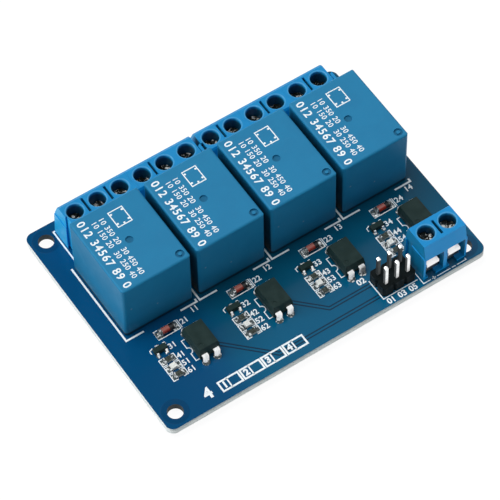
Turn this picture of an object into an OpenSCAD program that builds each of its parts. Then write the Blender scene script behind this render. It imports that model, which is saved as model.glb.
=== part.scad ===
// Four-channel relay module: a circuit board that carries four relays, their
// optocouplers and drivers, output and power screw terminals and a pin header.
// Millimetres, +Z up. Origin: the centre of the four mounting holes, on the
// underside of the board. +X runs along the relay row, +Y towards the outputs.

/* [Board] */
// Length of the board, along the relay row
board_l = 73; // [73:0.5:80]
// Width of the board
board_w = 53; // [53:0.5:58]
// Thickness of the board
board_t = 1.6; // [1:0.2:2.4]
// Radius of the board's corners
board_r = 1.7; // [0.5:0.1:2.5]
// Distance of the mounting holes from the board's ends
hole_in_x = 3.2; // [2.8:0.1:4]
// Distance of the mounting holes from the board's long edges
hole_in_y = 3.3; // [2.8:0.1:4]
// Diameter of the mounting holes
hole_d = 3.2; // [2.2:0.1:3.4]
// Play between a lead's corners and its drilled hole, on the diameter
drill_play = 0.2; // [0.1:0.05:0.4]
// How far the trimmed leads stand out of the underside
tail_l = 1.8; // [1.4:0.1:2.5]
// Width of the solder fillet round each hole
fillet_w = 0.4; // [0.2:0.05:0.5]
// Height of the solder fillet
fillet_h = 1.2; // [0.6:0.1:1.3]
// Thickness of the tinned copper pads
pad_t = 0.05; // [0.03:0.01:0.1]
// Width of the tinned ring round a drilled hole
ring_w = 0.4; // [0.25:0.05:0.5]

/* [Relays] */
// Width of a relay case, along the row
relay_w = 15.3; // [14:0.1:16]
// Depth of a relay case
relay_d = 19.1; // [18:0.1:20]
// Height of a relay case
relay_h = 14.9; // [12:0.1:18]
// Space between neighbouring relays
relay_gap = 1.4; // [0.6:0.1:1.6]
// Centre of the relay row
row_x = 0.56; // [0:0.01:1]
// Front face of the relay row
row_front = -4.1; // [-4.5:0.1:-3.9]
// Wall of a relay case round its base
relay_wall = 1; // [0.6:0.1:1.1]
// Radius of the upright edges of a case
relay_edge_r = 0.7; // [0.3:0.05:1]
// Radius of the top edges of a case
relay_top_r = 0.45; // [0.2:0.05:0.6]
// Thickness of a relay base
relay_base_t = 1.6; // [1.2:0.1:2.5]
// Height of the feet that hold a relay off the board
relay_foot = 0.3; // [0.2:0.05:0.6]
// Diameter of those feet
relay_foot_d = 1.2; // [0.8:0.1:1.6]
// Diameter of the moulding gate recess on top
gate_d = 1.6; // [1:0.1:2.5]
// Outer diameter of the vent ring on top
vent_d = 1.8; // [1.4:0.1:2.2]
// Distance of the vent ring from the case's right and front faces
vent_in = 1.5; // [1.4:0.1:2.5]
// Depth of the recesses on top
mark_depth = 0.35; // [0.1:0.05:0.5]
// Distance of the common pin from the case's front face
common_in = 1.7; // [1.6:0.05:2]
// Distance from the common pin back to the coil pins
coil_back = 1.95; // [1.5:0.05:2.5]
// Distance from the common pin back to the contact pins
contact_back = 14.2; // [13:0.1:14.6]
// Distance between the two rows of pins
relay_pin_span = 12; // [11:0.1:12]
// Width of the square coil pins
coil_pin = 0.6; // [0.4:0.05:0.8]
// Width of the flat contact pins
contact_pin_w = 1; // [0.7:0.05:1.1]
// Thickness of the flat contact pins
contact_pin_t = 0.5; // [0.3:0.05:0.6]

/* [Output terminals] */
// Pitch of the output ways
out_pitch = 5.08; // [5:0.01:5.2]
// Height of an output block
out_h = 10.4; // [9.6:0.1:12]
// Space between the relays and the output blocks
out_gap = 0.7; // [0.5:0.1:1]
// Depth from the screw line to the back of a block
out_back = 4; // [3.7:0.1:4.2]
// Depth from the screw line to the foot of the wire side
out_foot = 4.6; // [4.2:0.1:4.8]
// Depth from the screw line to the brow above the wire entry
out_brow = 4; // [3.6:0.1:4.1]
// Height of that brow
out_brow_z = 7.2; // [6.8:0.1:7.6]
// Depth from the screw line to the top of the brow's slope
out_crest = 2.9; // [2.6:0.1:3.2]
// Depth of the flat top on the wire side of the screws
out_top = 2.2; // [2.1:0.05:2.4]
// Depth of the flat top on the other side of the screws
out_top_back = 2.45; // [2.4:0.05:2.9]
// Centre of the output row
out_x = 0.15; // [-0.5:0.05:0.5]
// Space between the left half and the right half of the output row
out_split = 0.6; // [0.6:0.05:1]
// Play between hooked blocks
out_play = 0.03; // [0.02:0.01:0.1]
// Height of the wire leaf's top, as the output screws are set
out_leaf_z = 2.7; // [2.3:0.05:2.7]
// How far the dovetail rail stands out
rail_out = 0.55; // [0.4:0.05:0.6]
// Width of the rail at its root
rail_root = 1.6; // [1.2:0.1:1.8]
// Width of the rail at its tip
rail_tip = 2.3; // [1.9:0.1:2.4]
// How far the rail's top stays below the block's top
rail_drop = 0; // [0:0.05:1]
// Distance from the screw line back to the middle of the rail
rail_back = 1.2; // [1.1:0.05:1.25]

/* [Power terminal] */
// Pitch of the power ways
power_pitch = 5; // [4.95:0.01:5.2]
// Height of the power block
power_h = 10.5; // [9.6:0.1:12]
// Middle of the power block along the board
power_x = 27.15; // [26.5:0.05:28.5]
// Screw line of the power block
power_y = -22.15; // [-22.3:0.05:-22]
// Depth from the screw line to the back of the block
power_back = 3.4; // [3:0.05:3.5]
// Depth from the screw line to the wire side
power_front = 3.2; // [3:0.05:3.6]
// Depth from the screw line to the upper edge of the wire side
power_top = 2.7; // [2.5:0.05:2.9]
// Depth from the screw line to the upper edge at the back
power_top_back = 2.55; // [2.4:0.05:2.9]
// Height of the wire leaf's top, as the power screws are set
power_leaf_z = 3.6; // [2.8:0.05:3.9]
// How far the block's ends stand out beyond its ways
power_end = 0.05; // [0:0.05:0.3]
// Width of the groove in the block's end wall
power_groove_w = 1.8; // [1:0.1:1.9]
// Distance from the screw line back to the middle of that groove
power_groove_back = 1.9; // [1.8:0.05:2.2]
// Depth of that groove
power_groove = 0.5; // [0.2:0.05:0.6]

/* [Terminal innards] */
// Diameter of the bores over the screws
bore_d = 3.45; // [3.3:0.05:3.6]
// Chamfer of the bores' rims
bore_rim = 0.12; // [0.05:0.01:0.2]
// Width of a wire entry's mouth
entry_w = 4.15; // [3.8:0.05:4.3]
// Distance from the screw line to the inner end of the mouth
mouth_in = 1.3; // [1:0.1:1.6]
// Height of the wire entry's roof
entry_roof = 6.4; // [6.2:0.05:6.6]
// Thickness of a block's floor
floor_t = 0.5; // [0.4:0.05:0.6]
// Width of the slot in the floor
floor_slot_w = 1.8; // [1:0.1:2.2]
// Distance of that slot to the left of the way's middle
floor_slot_off = 0.5; // [0:0.05:0.6]
// How far the rear edge of a block's top leans out
top_lean = 0.3; // [0.1:0.05:0.4]
// Height of that leaning edge
top_edge = 0.5; // [0.3:0.1:1]
// Height of the ledge on the block's ends
ledge_z = 6.8; // [6.2:0.1:7.4]
// Depth of that ledge
ledge_in = 0.2; // [0.1:0.05:0.25]
// Width of the slots between the ways on top
top_slot_w = 0.55; // [0.3:0.05:0.8]
// Depth of those slots
top_slot_depth = 1.4; // [0.6:0.1:2]
// How far those slots run from the screw line to the back
top_slot_back = 1.65; // [1:0.05:1.9]
// How far those slots run from the screw line to the wire side
top_slot_front = 1.85; // [1:0.05:1.9]
// Play between a clamp frame and its block
frame_play = 0.05; // [0.03:0.01:0.1]
// Width of a clamp frame
frame_w = 3.2; // [3:0.05:3.3]
// Depth of a clamp frame from the screw line, both ways
frame_d = 2.1; // [2:0.05:2.2]
// Thickness of a clamp frame's bottom and back
frame_t = 0.6; // [0.4:0.05:0.7]
// Thickness of a clamp frame's threaded top
nut_t = 1.4; // [1:0.1:1.6]
// Width of a terminal's solder pin
term_pin_w = 1; // [0.8:0.05:1.2]
// Thickness of a terminal's solder pin
term_pin_t = 0.8; // [0.6:0.05:0.9]
// Width of a wire leaf
leaf_w = 2.8; // [2.4:0.05:3.2]
// Thickness of a wire leaf
leaf_t = 0.35; // [0.25:0.05:0.45]
// How far a wire leaf's front edge stays inside the wire side
leaf_in = 0.45; // [0.3:0.05:0.8]
// Height of the folded lip at a wire leaf's front
leaf_lip = 0.75; // [0.5:0.05:0.9]
// Diameter of the screws' shanks
shank_d = 2.4; // [2:0.05:2.5]
// Play between a shank and its threaded hole, on the diameter
thread_play = 0.1; // [0.05:0.05:0.2]
// Length of the screws' shanks
shank_l = 3.75; // [3.75:0.05:4.2]
// Diameter of the screws' heads
head_d = 3.2; // [3:0.05:3.25]
// Height of the screws' heads
head_h = 1.1; // [0.8:0.05:1.3]
// Width of the slots in the heads
slot_w = 0.75; // [0.5:0.05:0.9]
// Depth of the slots in the heads
slot_depth = 0.6; // [0.3:0.05:0.7]

/* [Pin header] */
// Pitch of the header's pins
header_pitch = 2.54; // [2.5:0.01:2.6]
// Columns of pins
header_columns = 3; // [2:1:3]
// Middle of the header along the board
header_x = 17.4; // [17:0.05:17.6]
// Middle of the header across the board
header_y = -21.75; // [-22:0.05:-21.5]
// Height of the moulded body
header_h = 2.5; // [2:0.1:3]
// Chamfer of each cell's corners
header_notch = 0.4; // [0.2:0.05:0.6]
// Width of the square pins
header_pin = 0.64; // [0.5:0.01:0.7]
// Height of the pins above the board
header_pin_h = 8.1; // [7:0.1:12]
// Length of the pointed pin tips
header_tip = 0.55; // [0.3:0.05:0.8]

/* [Optocouplers] */
// Middle of an optocoupler from its relay's middle, along the row
opto_dx = 3.22; // [2.9:0.01:3.6]
// Distance from the relay row's front to the rear leads
opto_dy = 5.65; // [5.5:0.05:5.8]
// Body width, along the row
opto_w = 4.6; // [4.2:0.1:4.8]
// Body depth
opto_d = 6.5; // [6:0.1:6.8]
// Body height
opto_h = 3.3; // [2.8:0.1:3.6]
// Space under the body
opto_lift = 0.4; // [0.3:0.05:0.6]
// Draft of the body's sides, from the lead line to the top or bottom
opto_draft = 0.28; // [0.1:0.02:0.4]
// Distance between the two rows of leads
opto_span = 7.62; // [7.4:0.02:7.62]
// Pitch of the leads in a row
opto_pitch = 2.54; // [2.4:0.02:2.6]
// Thickness of the leads
opto_lead_t = 0.25; // [0.2:0.01:0.3]
// Width of the leads at their shoulders
opto_lead_w = 1.2; // [0.9:0.05:1.4]
// Width of the leads in the board
opto_tail_w = 0.5; // [0.4:0.05:0.6]
// Height of the shoulders above the board
opto_shoulder = 0.5; // [0.3:0.05:0.9]
// Diameter of the first lead's dimple
opto_dot = 1; // [0.6:0.1:1.2]

/* [Diodes] */
// Middle of a diode from its relay's middle, along the row
diode_dx = -0.45; // [-0.9:0.05:0]
// Distance from the relay row's front to a diode's axis
diode_dy = 3.25; // [3:0.05:3.4]
// Length of a diode
diode_l = 3.5; // [3.2:0.05:3.8]
// Diameter of the metal caps
diode_d = 1.5; // [1.3:0.05:1.6]
// Length of each cap
diode_cap_l = 0.5; // [0.35:0.05:0.7]
// Diameter of the glass
diode_glass_d = 1.4; // [1.2:0.05:1.5]
// Length of a diode's pads
diode_pad_l = 1.3; // [1:0.05:1.4]
// Width of a diode's pads
diode_pad_w = 1.6; // [1.3:0.05:1.7]

/* [Transistors] */
// Middle of a transistor from its relay's middle, along the row
trans_dx = -3.9; // [-4.1:0.05:-3.6]
// Distance from the relay row's front to a transistor's middle
trans_dy = 6.2; // [6:0.05:6.3]
// Body length
trans_l = 2.9; // [2.7:0.05:3]
// Body width
trans_w = 1.3; // [1.2:0.05:1.4]
// Body height
trans_h = 1; // [0.8:0.05:1.1]
// Space under the body
trans_lift = 0.08; // [0.05:0.01:0.12]
// Slope of the body's sides
trans_draft = 0.1; // [0.05:0.01:0.15]
// Distance between the two front leads
trans_pitch = 1.9; // [1.8:0.05:2]
// How far the leads stand out
trans_reach = 0.55; // [0.45:0.05:0.6]
// Width of the leads
trans_lead_w = 0.42; // [0.3:0.02:0.5]
// Thickness of the leads
trans_lead_t = 0.12; // [0.1:0.01:0.15]
// Width of the pads
trans_pad = 0.8; // [0.7:0.05:0.9]

/* [Chip parts] */
// Middle of a chip column from its relay's middle, along the row
chip_dx = -3.8; // [-3.9:0.05:-3.4]
// Distance from the relay row's front to the first chip
chip_dy = 8.85; // [8.6:0.05:9]
// Pitch of the chips in a column
chip_pitch = 1.91; // [1.85:0.01:1.95]
// Length of a chip
chip_l = 2; // [1.8:0.05:2.1]
// Width of a chip
chip_w = 1.25; // [1.1:0.05:1.3]
// Height of a chip resistor
chip_h = 0.55; // [0.4:0.05:0.7]
// Length of a chip's end caps
chip_cap = 0.4; // [0.25:0.05:0.5]
// Thickness of the metal of the end caps
chip_cap_t = 0.05; // [0.03:0.01:0.08]
// Height of a light-emitting diode's base
led_base_h = 0.35; // [0.25:0.05:0.5]
// Length of its lens
led_lens_l = 1.3; // [1:0.05:1.35]
// Height of its lens
led_lens_h = 0.45; // [0.3:0.05:0.6]
// Length of a chip's pads
chip_pad_l = 1; // [0.8:0.05:1.1]
// How far a chip's pads stand out beyond its ends
chip_pad_out = 0.5; // [0.3:0.05:0.6]

/* [Hidden] */
channels = 4;
// Ways of each output block, from the left
out_blocks = [3, 3, 2, 2, 2];
// Blocks in the left half of the output row
left_blocks = 2;
// Way of the left half after which its block has no slot
unslotted = 5;
power_ways = 2;
// Extra length that carries a cut clear of the face it opens
over = 1;
// Chips per column: resistor, light-emitting diode, resistor
led_row = 1;
chip_rows = 3;

channel_pitch = relay_w + relay_gap;
relay_back = row_front + relay_d;
relay_mid_y = row_front + relay_d / 2;
relay_z = board_t + relay_foot;
base_play = 0.05;
base_w = relay_w - 2 * (relay_wall + base_play);
base_d = relay_d - 2 * (relay_wall + base_play);
out_y = relay_back + out_gap + out_back;
out_ways = 12;
power_line = [power_x - power_pitch / 2, power_y];
frame_top = entry_roof - frame_play;
pin_y = -0.4;
pad_z = board_t + pad_t;
opto_mid_z = board_t + opto_lift + opto_h / 2;
opto_rear = row_front - opto_dy;
opto_front = opto_rear - opto_span;
diode_y = row_front - diode_dy;
trans_y = row_front - trans_dy;
header_rows = 2;

function channel_x(k) = row_x + (k - (channels + 1) / 2) * channel_pitch;
function ways_before(b) = b < 1 ? 0 : out_blocks[b - 1] + ways_before(b - 1);
function out_way_x(i) = out_x + (i - (out_ways - 1) / 2) * out_pitch
    + (i < ways_before(left_blocks) ? -1 : 1) * out_split / 2;
function numbered(name, count) = [for (i = [1:count]) str(name, "_", i)];

// Every lead that passes through the board: [x, y, size along x, size along y]
function relay_leads(k) = [
    [channel_x(k), row_front + common_in, contact_pin_w, contact_pin_t],
    for (s = [-1, 1]) [channel_x(k) + s * relay_pin_span / 2,
        row_front + common_in + coil_back, coil_pin, coil_pin],
    for (s = [-1, 1]) [channel_x(k) + s * relay_pin_span / 2,
        row_front + common_in + contact_back, contact_pin_w, contact_pin_t]
];
function opto_leads(k) = [for (s = [-1, 1]) for (y = [opto_front, opto_rear])
    [channel_x(k) + opto_dx + s * opto_pitch / 2, y, opto_tail_w, opto_lead_t]];
out_leads = [for (i = [0:out_ways - 1])
    [out_way_x(i), out_y + pin_y, term_pin_w, term_pin_t]];
power_leads = [for (i = [0:power_ways - 1])
    [power_line[0] + i * power_pitch, power_line[1] - pin_y, term_pin_w, term_pin_t]];
header_leads = [for (i = [0:header_columns - 1]) for (j = [0:header_rows - 1])
    [header_x + (i - (header_columns - 1) / 2) * header_pitch,
        header_y + (j - (header_rows - 1) / 2) * header_pitch, header_pin, header_pin]];
leads = concat(
    [for (k = [1:channels]) each relay_leads(k)],
    [for (k = [1:channels]) each opto_leads(k)],
    out_leads, power_leads, header_leads);

function drill_d(lead) = norm([lead[2], lead[3]]) + drill_play;

// ---- shared shapes ----

// Rectangle about the origin with four rounded corners
module rounded_rect(w, d, r) {
    square([w - 2 * r, d], center = true);
    square([w, d - 2 * r], center = true);
    for (sx = [-1, 1])
        for (sy = [-1, 1])
            translate([sx * (w / 2 - r), sy * (d / 2 - r)])
                circle(r = r, $fn = 48);
}

// Upright outline from z = 0 with its two upper corners rounded
module arch_rect(w, h, r) {
    translate([-w / 2, 0])
        square([w, h - r]);
    translate([-w / 2 + r, 0])
        square([w - 2 * r, h]);
    for (s = [-1, 1])
        translate([s * (w / 2 - r), h - r])
            circle(r = r, $fn = 48);
}

// Upright outline that leans in by draft from its middle to its top and bottom
module drafted(w, h, draft) {
    polygon([[-w / 2 + draft, -h / 2], [w / 2 - draft, -h / 2], [w / 2, 0],
        [w / 2 - draft, h / 2], [-w / 2 + draft, h / 2], [-w / 2, 0]]);
}

// Extrudes an outline drawn in (y, z) along x, centred
module along_x(l) {
    rotate([90, 0, 90])
        linear_extrude(l, center = true)
            children();
}

// Extrudes an outline drawn in (x, z) along y, centred
module along_y(l) {
    rotate([90, 0, 0])
        linear_extrude(l, center = true)
            children();
}

// Block from one corner to the opposite one
module block(from, to) {
    translate(from)
        cube(to - from);
}

// Bar of a lead's section from one height to another
module lead_bar(lead, z0, z1) {
    translate([lead[0], lead[1], (z0 + z1) / 2])
        cube([lead[2], lead[3], z1 - z0], center = true);
}

// Square pin with four-sided points at both ends
module pointed_pin(w, z0, z1, tip) {
    mid = (z0 + z1) / 2;
    half = (z1 - z0) / 2;
    outline = [[w / 2, -half + tip], [w / 2, half - tip], [w / 5, half], [-w / 5, half],
        [-w / 2, half - tip], [-w / 2, -half + tip], [-w / 5, -half], [w / 5, -half]];
    translate([0, 0, mid])
        intersection() {
            along_x(w) polygon(outline);
            along_y(w) polygon(outline);
        }
}

// ---- board ----

module board() {
    color("#0a4f80")
        difference() {
            linear_extrude(board_t)
                rounded_rect(board_l, board_w, board_r);
            for (sx = [-1, 1])
                for (sy = [-1, 1])
                    translate([sx * (board_l / 2 - hole_in_x), sy * (board_w / 2 - hole_in_y), -over])
                        cylinder(d = hole_d, h = board_t + 2 * over, $fn = 64);
            for (lead = leads)
                translate([lead[0], lead[1], -over])
                    cylinder(d = drill_d(lead), h = board_t + 2 * over, $fn = 32);
        }
}

// Pads under the small parts and rings round the optocouplers' leads
module solder_pads() {
    color("#d9dcd8") {
        for (k = [1:channels]) {
            for (s = [-1, 1])
                translate([channel_x(k) + diode_dx + s * (diode_l + 2 * chip_cap_t) / 2,
                    diode_y, board_t])
                    linear_extrude(pad_t)
                        square([diode_pad_l, diode_pad_w], center = true);
            for (p = trans_feet(k))
                translate([p[0], p[1], board_t])
                    linear_extrude(pad_t)
                        square(trans_pad, center = true);
            for (row = [0:chip_rows - 1])
                for (s = [-1, 1])
                    translate([channel_x(k) + chip_dx
                        + s * (chip_l / 2 + chip_pad_out - chip_pad_l / 2),
                        chip_y(row), board_t])
                        linear_extrude(pad_t)
                            square([chip_pad_l, chip_w], center = true);
            for (lead = opto_leads(k))
                translate([lead[0], lead[1], board_t])
                    difference() {
                        cylinder(d = drill_d(lead) + 2 * ring_w, h = pad_t, $fn = 48);
                        translate([0, 0, -over])
                            cylinder(d = drill_d(lead), h = pad_t + 2 * over, $fn = 32);
                    }
        }
    }
}

// One concave fillet round each trimmed lead, against the underside
module solder_fillets() {
    color("#c3c7c9")
        for (lead = leads)
            difference() {
                translate([lead[0], lead[1], 0])
                    mirror([0, 0, 1])
                        rotate_extrude($fn = 24)
                            fillet_profile(drill_d(lead) / 2 + fillet_w, drill_d(lead) / 2);
                lead_bar(lead, -tail_l, over);
            }
}

module fillet_profile(r, neck) {
    polygon([[0, 0], [r, 0], [r, 0.12 * fillet_h], [(r + neck) / 2, 0.4 * fillet_h],
        [neck, fillet_h], [0, fillet_h]]);
}

// ---- relays ----

// Moulded case: a rounded block with a recess below for its base
module relay_case(k) {
    color("#1f6f9e")
        translate([channel_x(k), relay_mid_y, relay_z])
            difference() {
                intersection() {
                    linear_extrude(relay_h)
                        rounded_rect(relay_w, relay_d, relay_edge_r);
                    along_x(relay_w + over) arch_rect(relay_d, relay_h, relay_top_r);
                    along_y(relay_d + over) arch_rect(relay_w, relay_h, relay_top_r);
                }
                translate([0, 0, -over])
                    linear_extrude(over + relay_base_t)
                        square([relay_w - 2 * relay_wall, relay_d - 2 * relay_wall], center = true);
                translate([0, 0, relay_h - mark_depth])
                    cylinder(d = gate_d, h = over, $fn = 40);
                translate([relay_w / 2 - vent_in, vent_in - relay_d / 2, relay_h - mark_depth])
                    difference() {
                        cylinder(d = vent_d, h = over, $fn = 40);
                        cylinder(d = vent_d * 0.4, h = over, $fn = 32);
                    }
            }
}

// Base plate in the case's recess, on four feet, slotted for its pins
module relay_base(k) {
    color("#185a82")
        difference() {
            translate([channel_x(k), relay_mid_y, board_t]) {
                translate([0, 0, relay_foot + relay_base_t / 2])
                    cube([base_w, base_d, relay_base_t], center = true);
                for (sx = [-1, 1])
                    for (sy = [-1, 1])
                        translate([sx * (base_w / 2 - relay_foot_d), sy * base_d * 0.3, 0])
                            cylinder(d = relay_foot_d, h = relay_foot + relay_base_t / 2, $fn = 32);
            }
            for (lead = relay_leads(k))
                lead_bar(lead, board_t - over, relay_z + relay_base_t + over);
        }
}

module relay_pins(k) {
    color("#c9ccce")
        for (lead = relay_leads(k))
            lead_bar(lead, -tail_l, relay_z + relay_base_t);
}

// ---- screw terminals ----
// A block is drawn with its first screw's axis at the origin, its ways along
// +X, its wire side towards +Y and its floor at z = 0.

// Outline of an output block in (y, z)
module output_outline() {
    polygon([[-out_back, 0], [out_foot, 0], [out_brow, out_brow_z],
        [out_crest, out_h - (out_crest - out_top) * 0.7], [out_top, out_h],
        [-out_top_back, out_h], [-out_top_back - top_lean, out_h - top_edge],
        [-out_back, ledge_z - over]]);
}

// Outline of the power block in (y, z)
module power_outline() {
    polygon([[-power_back, 0], [power_front, 0], [power_front + 0.12, power_h * 0.62],
        [power_top, power_h], [-power_top_back, power_h],
        [-power_top_back - top_lean, power_h - top_edge], [-power_back, ledge_z - over]]);
}

// Body of a block: its outline, a little narrower above the ledge at its open ends
module block_body(ways, pitch, play, left_in, right_in) {
    width = ways * pitch - play;
    translate([(ways - 1) * pitch / 2, 0, 0]) {
        intersection() {
            along_x(width) children();
            translate([0, 0, ledge_z / 2])
                cube([width + over, 4 * out_foot, ledge_z], center = true);
        }
        translate([(left_in - right_in) / 2, 0, 0])
            along_x(width - left_in - right_in) children();
    }
}

// Wire entry, floor slot, pin slot and screw bore of one way
module way_cuts(top) {
    chamber = frame_w / 2 + frame_play;
    block([-chamber, -frame_d - frame_play, floor_t], [chamber, frame_d, entry_roof]);
    block([-entry_w / 2, mouth_in, floor_t], [entry_w / 2, 2 * out_foot, entry_roof]);
    translate([0, 0, entry_roof - over])
        cylinder(d = bore_d, h = top, $fn = 64);
    translate([0, 0, top - bore_rim])
        cylinder(d1 = bore_d, d2 = bore_d + 2 * bore_rim + 2 * over, h = bore_rim + over, $fn = 64);
    translate([0, pin_y, 0])
        cube([term_pin_w + 2 * frame_play, term_pin_t + 2 * frame_play, 3 * floor_t],
            center = true);
}

module floor_slot(side) {
    translate([side * floor_slot_off, 0, 0])
        block([-floor_slot_w / 2, over, -over], [floor_slot_w / 2, 2 * out_foot, floor_t + over]);
}

// Slot between two ways, in the top of a block
module top_slot(x, top) {
    translate([x, 0, 0])
        block([-top_slot_w / 2, -top_slot_back, top - top_slot_depth],
            [top_slot_w / 2, top_slot_front, top + over]);
}

// Half width of the dovetail rail at a distance from its root
function flank(x) = (rail_root + (rail_tip - rail_root) * x / rail_out) / 2;

// Dovetail from x0 to x1 beyond the root, wider by play on both flanks
module dovetail(x0, x1, play, h) {
    linear_extrude(h)
        polygon([[x0, -flank(x0) - play], [x1, -flank(x1) - play],
            [x1, flank(x1) + play], [x0, flank(x0) + play]]);
}

module output_housing(b) {
    first = ways_before(b);
    ways = out_blocks[b];
    left = -out_pitch / 2 + out_play / 2;
    right = (ways - 0.5) * out_pitch - out_play / 2;
    left_in = b == 0 || b == left_blocks ? ledge_in : 0;
    right_in = b == left_blocks - 1 || b == len(out_blocks) - 1 ? ledge_in : 0;
    color("#2b86c2")
        translate([out_way_x(first), out_y, board_t]) {
            difference() {
                block_body(ways, out_pitch, out_play, left_in, right_in) output_outline();
                for (i = [0:ways - 1])
                    translate([i * out_pitch, 0, 0]) {
                        way_cuts(out_h);
                        floor_slot(1);
                    }
                for (i = [1:1:ways - 1])
                    if (first + i != unslotted)
                        top_slot((i - 0.5) * out_pitch, out_h);
                translate([left - out_play, -rail_back, -over])
                    dovetail(0, rail_out + out_play, out_play, out_h + 2 * over);
            }
            translate([right, -rail_back, 0])
                dovetail(-frame_play, rail_out, 0, out_h - rail_drop);
        }
}

module power_housing() {
    color("#2f8ccb")
        translate([power_line[0] + power_pitch, power_line[1], board_t])
            rotate([0, 0, 180])
                difference() {
                    block_body(power_ways, power_pitch, -2 * power_end, ledge_in, ledge_in)
                        power_outline();
                    for (i = [0:power_ways - 1])
                        translate([i * power_pitch, 0, 0]) {
                            way_cuts(power_h);
                            floor_slot(1);
                        }
                    top_slot(power_pitch / 2, power_h);
                    translate([(power_ways - 0.5) * power_pitch + power_end - power_groove,
                        -power_groove_back - power_groove_w / 2, -over])
                        cube([power_groove + over, power_groove_w, ledge_z + over]);
                }
}

// Clamp frame of one way: threaded top, back, bottom and solder pin in one
module clamp_frame(top) {
    difference() {
        union() {
            difference() {
                block([-frame_w / 2, -frame_d, floor_t], [frame_w / 2, frame_d, top]);
                block([-frame_w / 2 - over, frame_t - frame_d, floor_t + frame_t],
                    [frame_w / 2 + over, frame_d + over, top - nut_t]);
            }
            block([-term_pin_w / 2, pin_y - term_pin_t / 2, -board_t - tail_l],
                [term_pin_w / 2, pin_y + term_pin_t / 2, floor_t + frame_t / 2]);
        }
        translate([0, 0, top - nut_t - over])
            cylinder(d = shank_d + thread_play, h = nut_t + 2 * over, $fn = 48);
    }
}

// Wire leaf of one way: it stands on the frame's bottom against its back,
// runs out under the screw and ends in a folded lip
module wire_leaf(leaf_z, front) {
    seat = floor_t + frame_t;
    back = frame_t - frame_d;
    along_x(leaf_w)
        polygon([[back, seat], [back + leaf_t, seat], [back + leaf_t, leaf_z - leaf_t],
            [front - leaf_t, leaf_z - leaf_t], [front - leaf_t, leaf_z - leaf_lip],
            [front, leaf_z - leaf_lip], [front, leaf_z - 0.12], [front - 0.12, leaf_z],
            [back, leaf_z]]);
}

// Slotted cheese-head screw that stands on its wire leaf
module clamp_screw(leaf_z, turn) {
    translate([0, 0, leaf_z])
        difference() {
            union() {
                cylinder(d = shank_d, h = shank_l + head_h / 2, $fn = 48);
                translate([0, 0, shank_l])
                    cylinder(d = head_d, h = head_h - 0.15, $fn = 48);
                translate([0, 0, shank_l + head_h - 0.15])
                    cylinder(d1 = head_d, d2 = head_d - 0.3, h = 0.15, $fn = 48);
            }
            rotate([0, 0, turn])
                translate([0, 0, shank_l + head_h])
                    cube([2 * head_d, slot_w, 2 * slot_depth], center = true);
        }
}

module output_clamp_frames(b) {
    first = ways_before(b);
    color("#b9bdbf")
        for (i = [0:out_blocks[b] - 1])
            translate([out_way_x(first + i), out_y, board_t])
                clamp_frame(frame_top);
}

module output_wire_leaves() {
    color("#c8cccf")
        for (i = [0:out_ways - 1])
            translate([out_way_x(i), out_y, board_t])
                wire_leaf(out_leaf_z, out_brow - leaf_in);
}

module output_clamp_screws() {
    color("#a9adb0")
        for (i = [0:out_ways - 1])
            translate([out_way_x(i), out_y, board_t])
                clamp_screw(out_leaf_z, 25 + 67 * i);
}

// Places the power block's ways, turned to the front of the board
module each_power_way() {
    for (i = [0:power_ways - 1])
        translate([power_line[0] + i * power_pitch, power_line[1], board_t])
            rotate([0, 0, 180])
                children();
}

module power_clamp_frames() {
    color("#b9bdbf")
        each_power_way()
            clamp_frame(frame_top);
}

module power_wire_leaves() {
    color("#e3e6e6")
        each_power_way()
            wire_leaf(power_leaf_z, power_front - leaf_in);
}

module power_clamp_screws() {
    color("#d3d6d6")
        each_power_way()
            clamp_screw(power_leaf_z, 40);
}

// ---- pin header ----

module header_body() {
    color("#15171a")
        difference() {
            for (lead = header_leads)
                translate([lead[0], lead[1], board_t])
                    linear_extrude(header_h)
                        header_cell();
            for (lead = header_leads)
                lead_bar(lead, board_t - over, board_t + header_h + over);
        }
}

// Square cell with chamfered corners
module header_cell() {
    a = header_pitch / 2;
    c = a - header_notch;
    polygon([[-a, -c], [-c, -a], [c, -a], [a, -c], [a, c], [c, a], [-c, a], [-a, c]]);
}

module header_pins() {
    color("#d8dadb")
        for (lead = header_leads)
            translate([lead[0], lead[1], 0])
                pointed_pin(header_pin, -tail_l, board_t + header_pin_h, header_tip);
}

// ---- optocouplers ----

module optocoupler_body(k) {
    color("#1d2420")
        translate([channel_x(k) + opto_dx, (opto_front + opto_rear) / 2, opto_mid_z])
            difference() {
                intersection() {
                    along_x(opto_w) drafted(opto_d, opto_h, opto_draft);
                    along_y(opto_d) drafted(opto_w, opto_h, opto_draft);
                }
                translate([-opto_w / 2 + 1.1, -opto_d / 2 + 1.2, opto_h / 2 - 0.12])
                    cylinder(d = opto_dot, h = over, $fn = 32);
                for (lead = opto_leads(1))
                    translate([lead[0] - channel_x(1) - opto_dx, 0, 0])
                        cube([opto_lead_w, opto_d - 2 * opto_draft - 1, opto_lead_t],
                            center = true);
                for (lead = opto_leads(1))
                    translate([lead[0] - channel_x(1) - opto_dx, 0, 0])
                        difference() {
                            cube([opto_lead_w, opto_d + over, opto_lead_t], center = true);
                            cube([opto_lead_w, opto_d - 2 * over, opto_lead_t], center = true);
                        }
            }
}

// Four formed leads: a wide shoulder outside the body and a narrow tail
module optocoupler_leads(k) {
    color("#e9ebeb")
        for (lead = opto_leads(k))
            translate([lead[0], lead[1], 0])
                rotate([0, 0, lead[1] < (opto_front + opto_rear) / 2 ? 0 : 180])
                    formed_lead();
}

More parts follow.
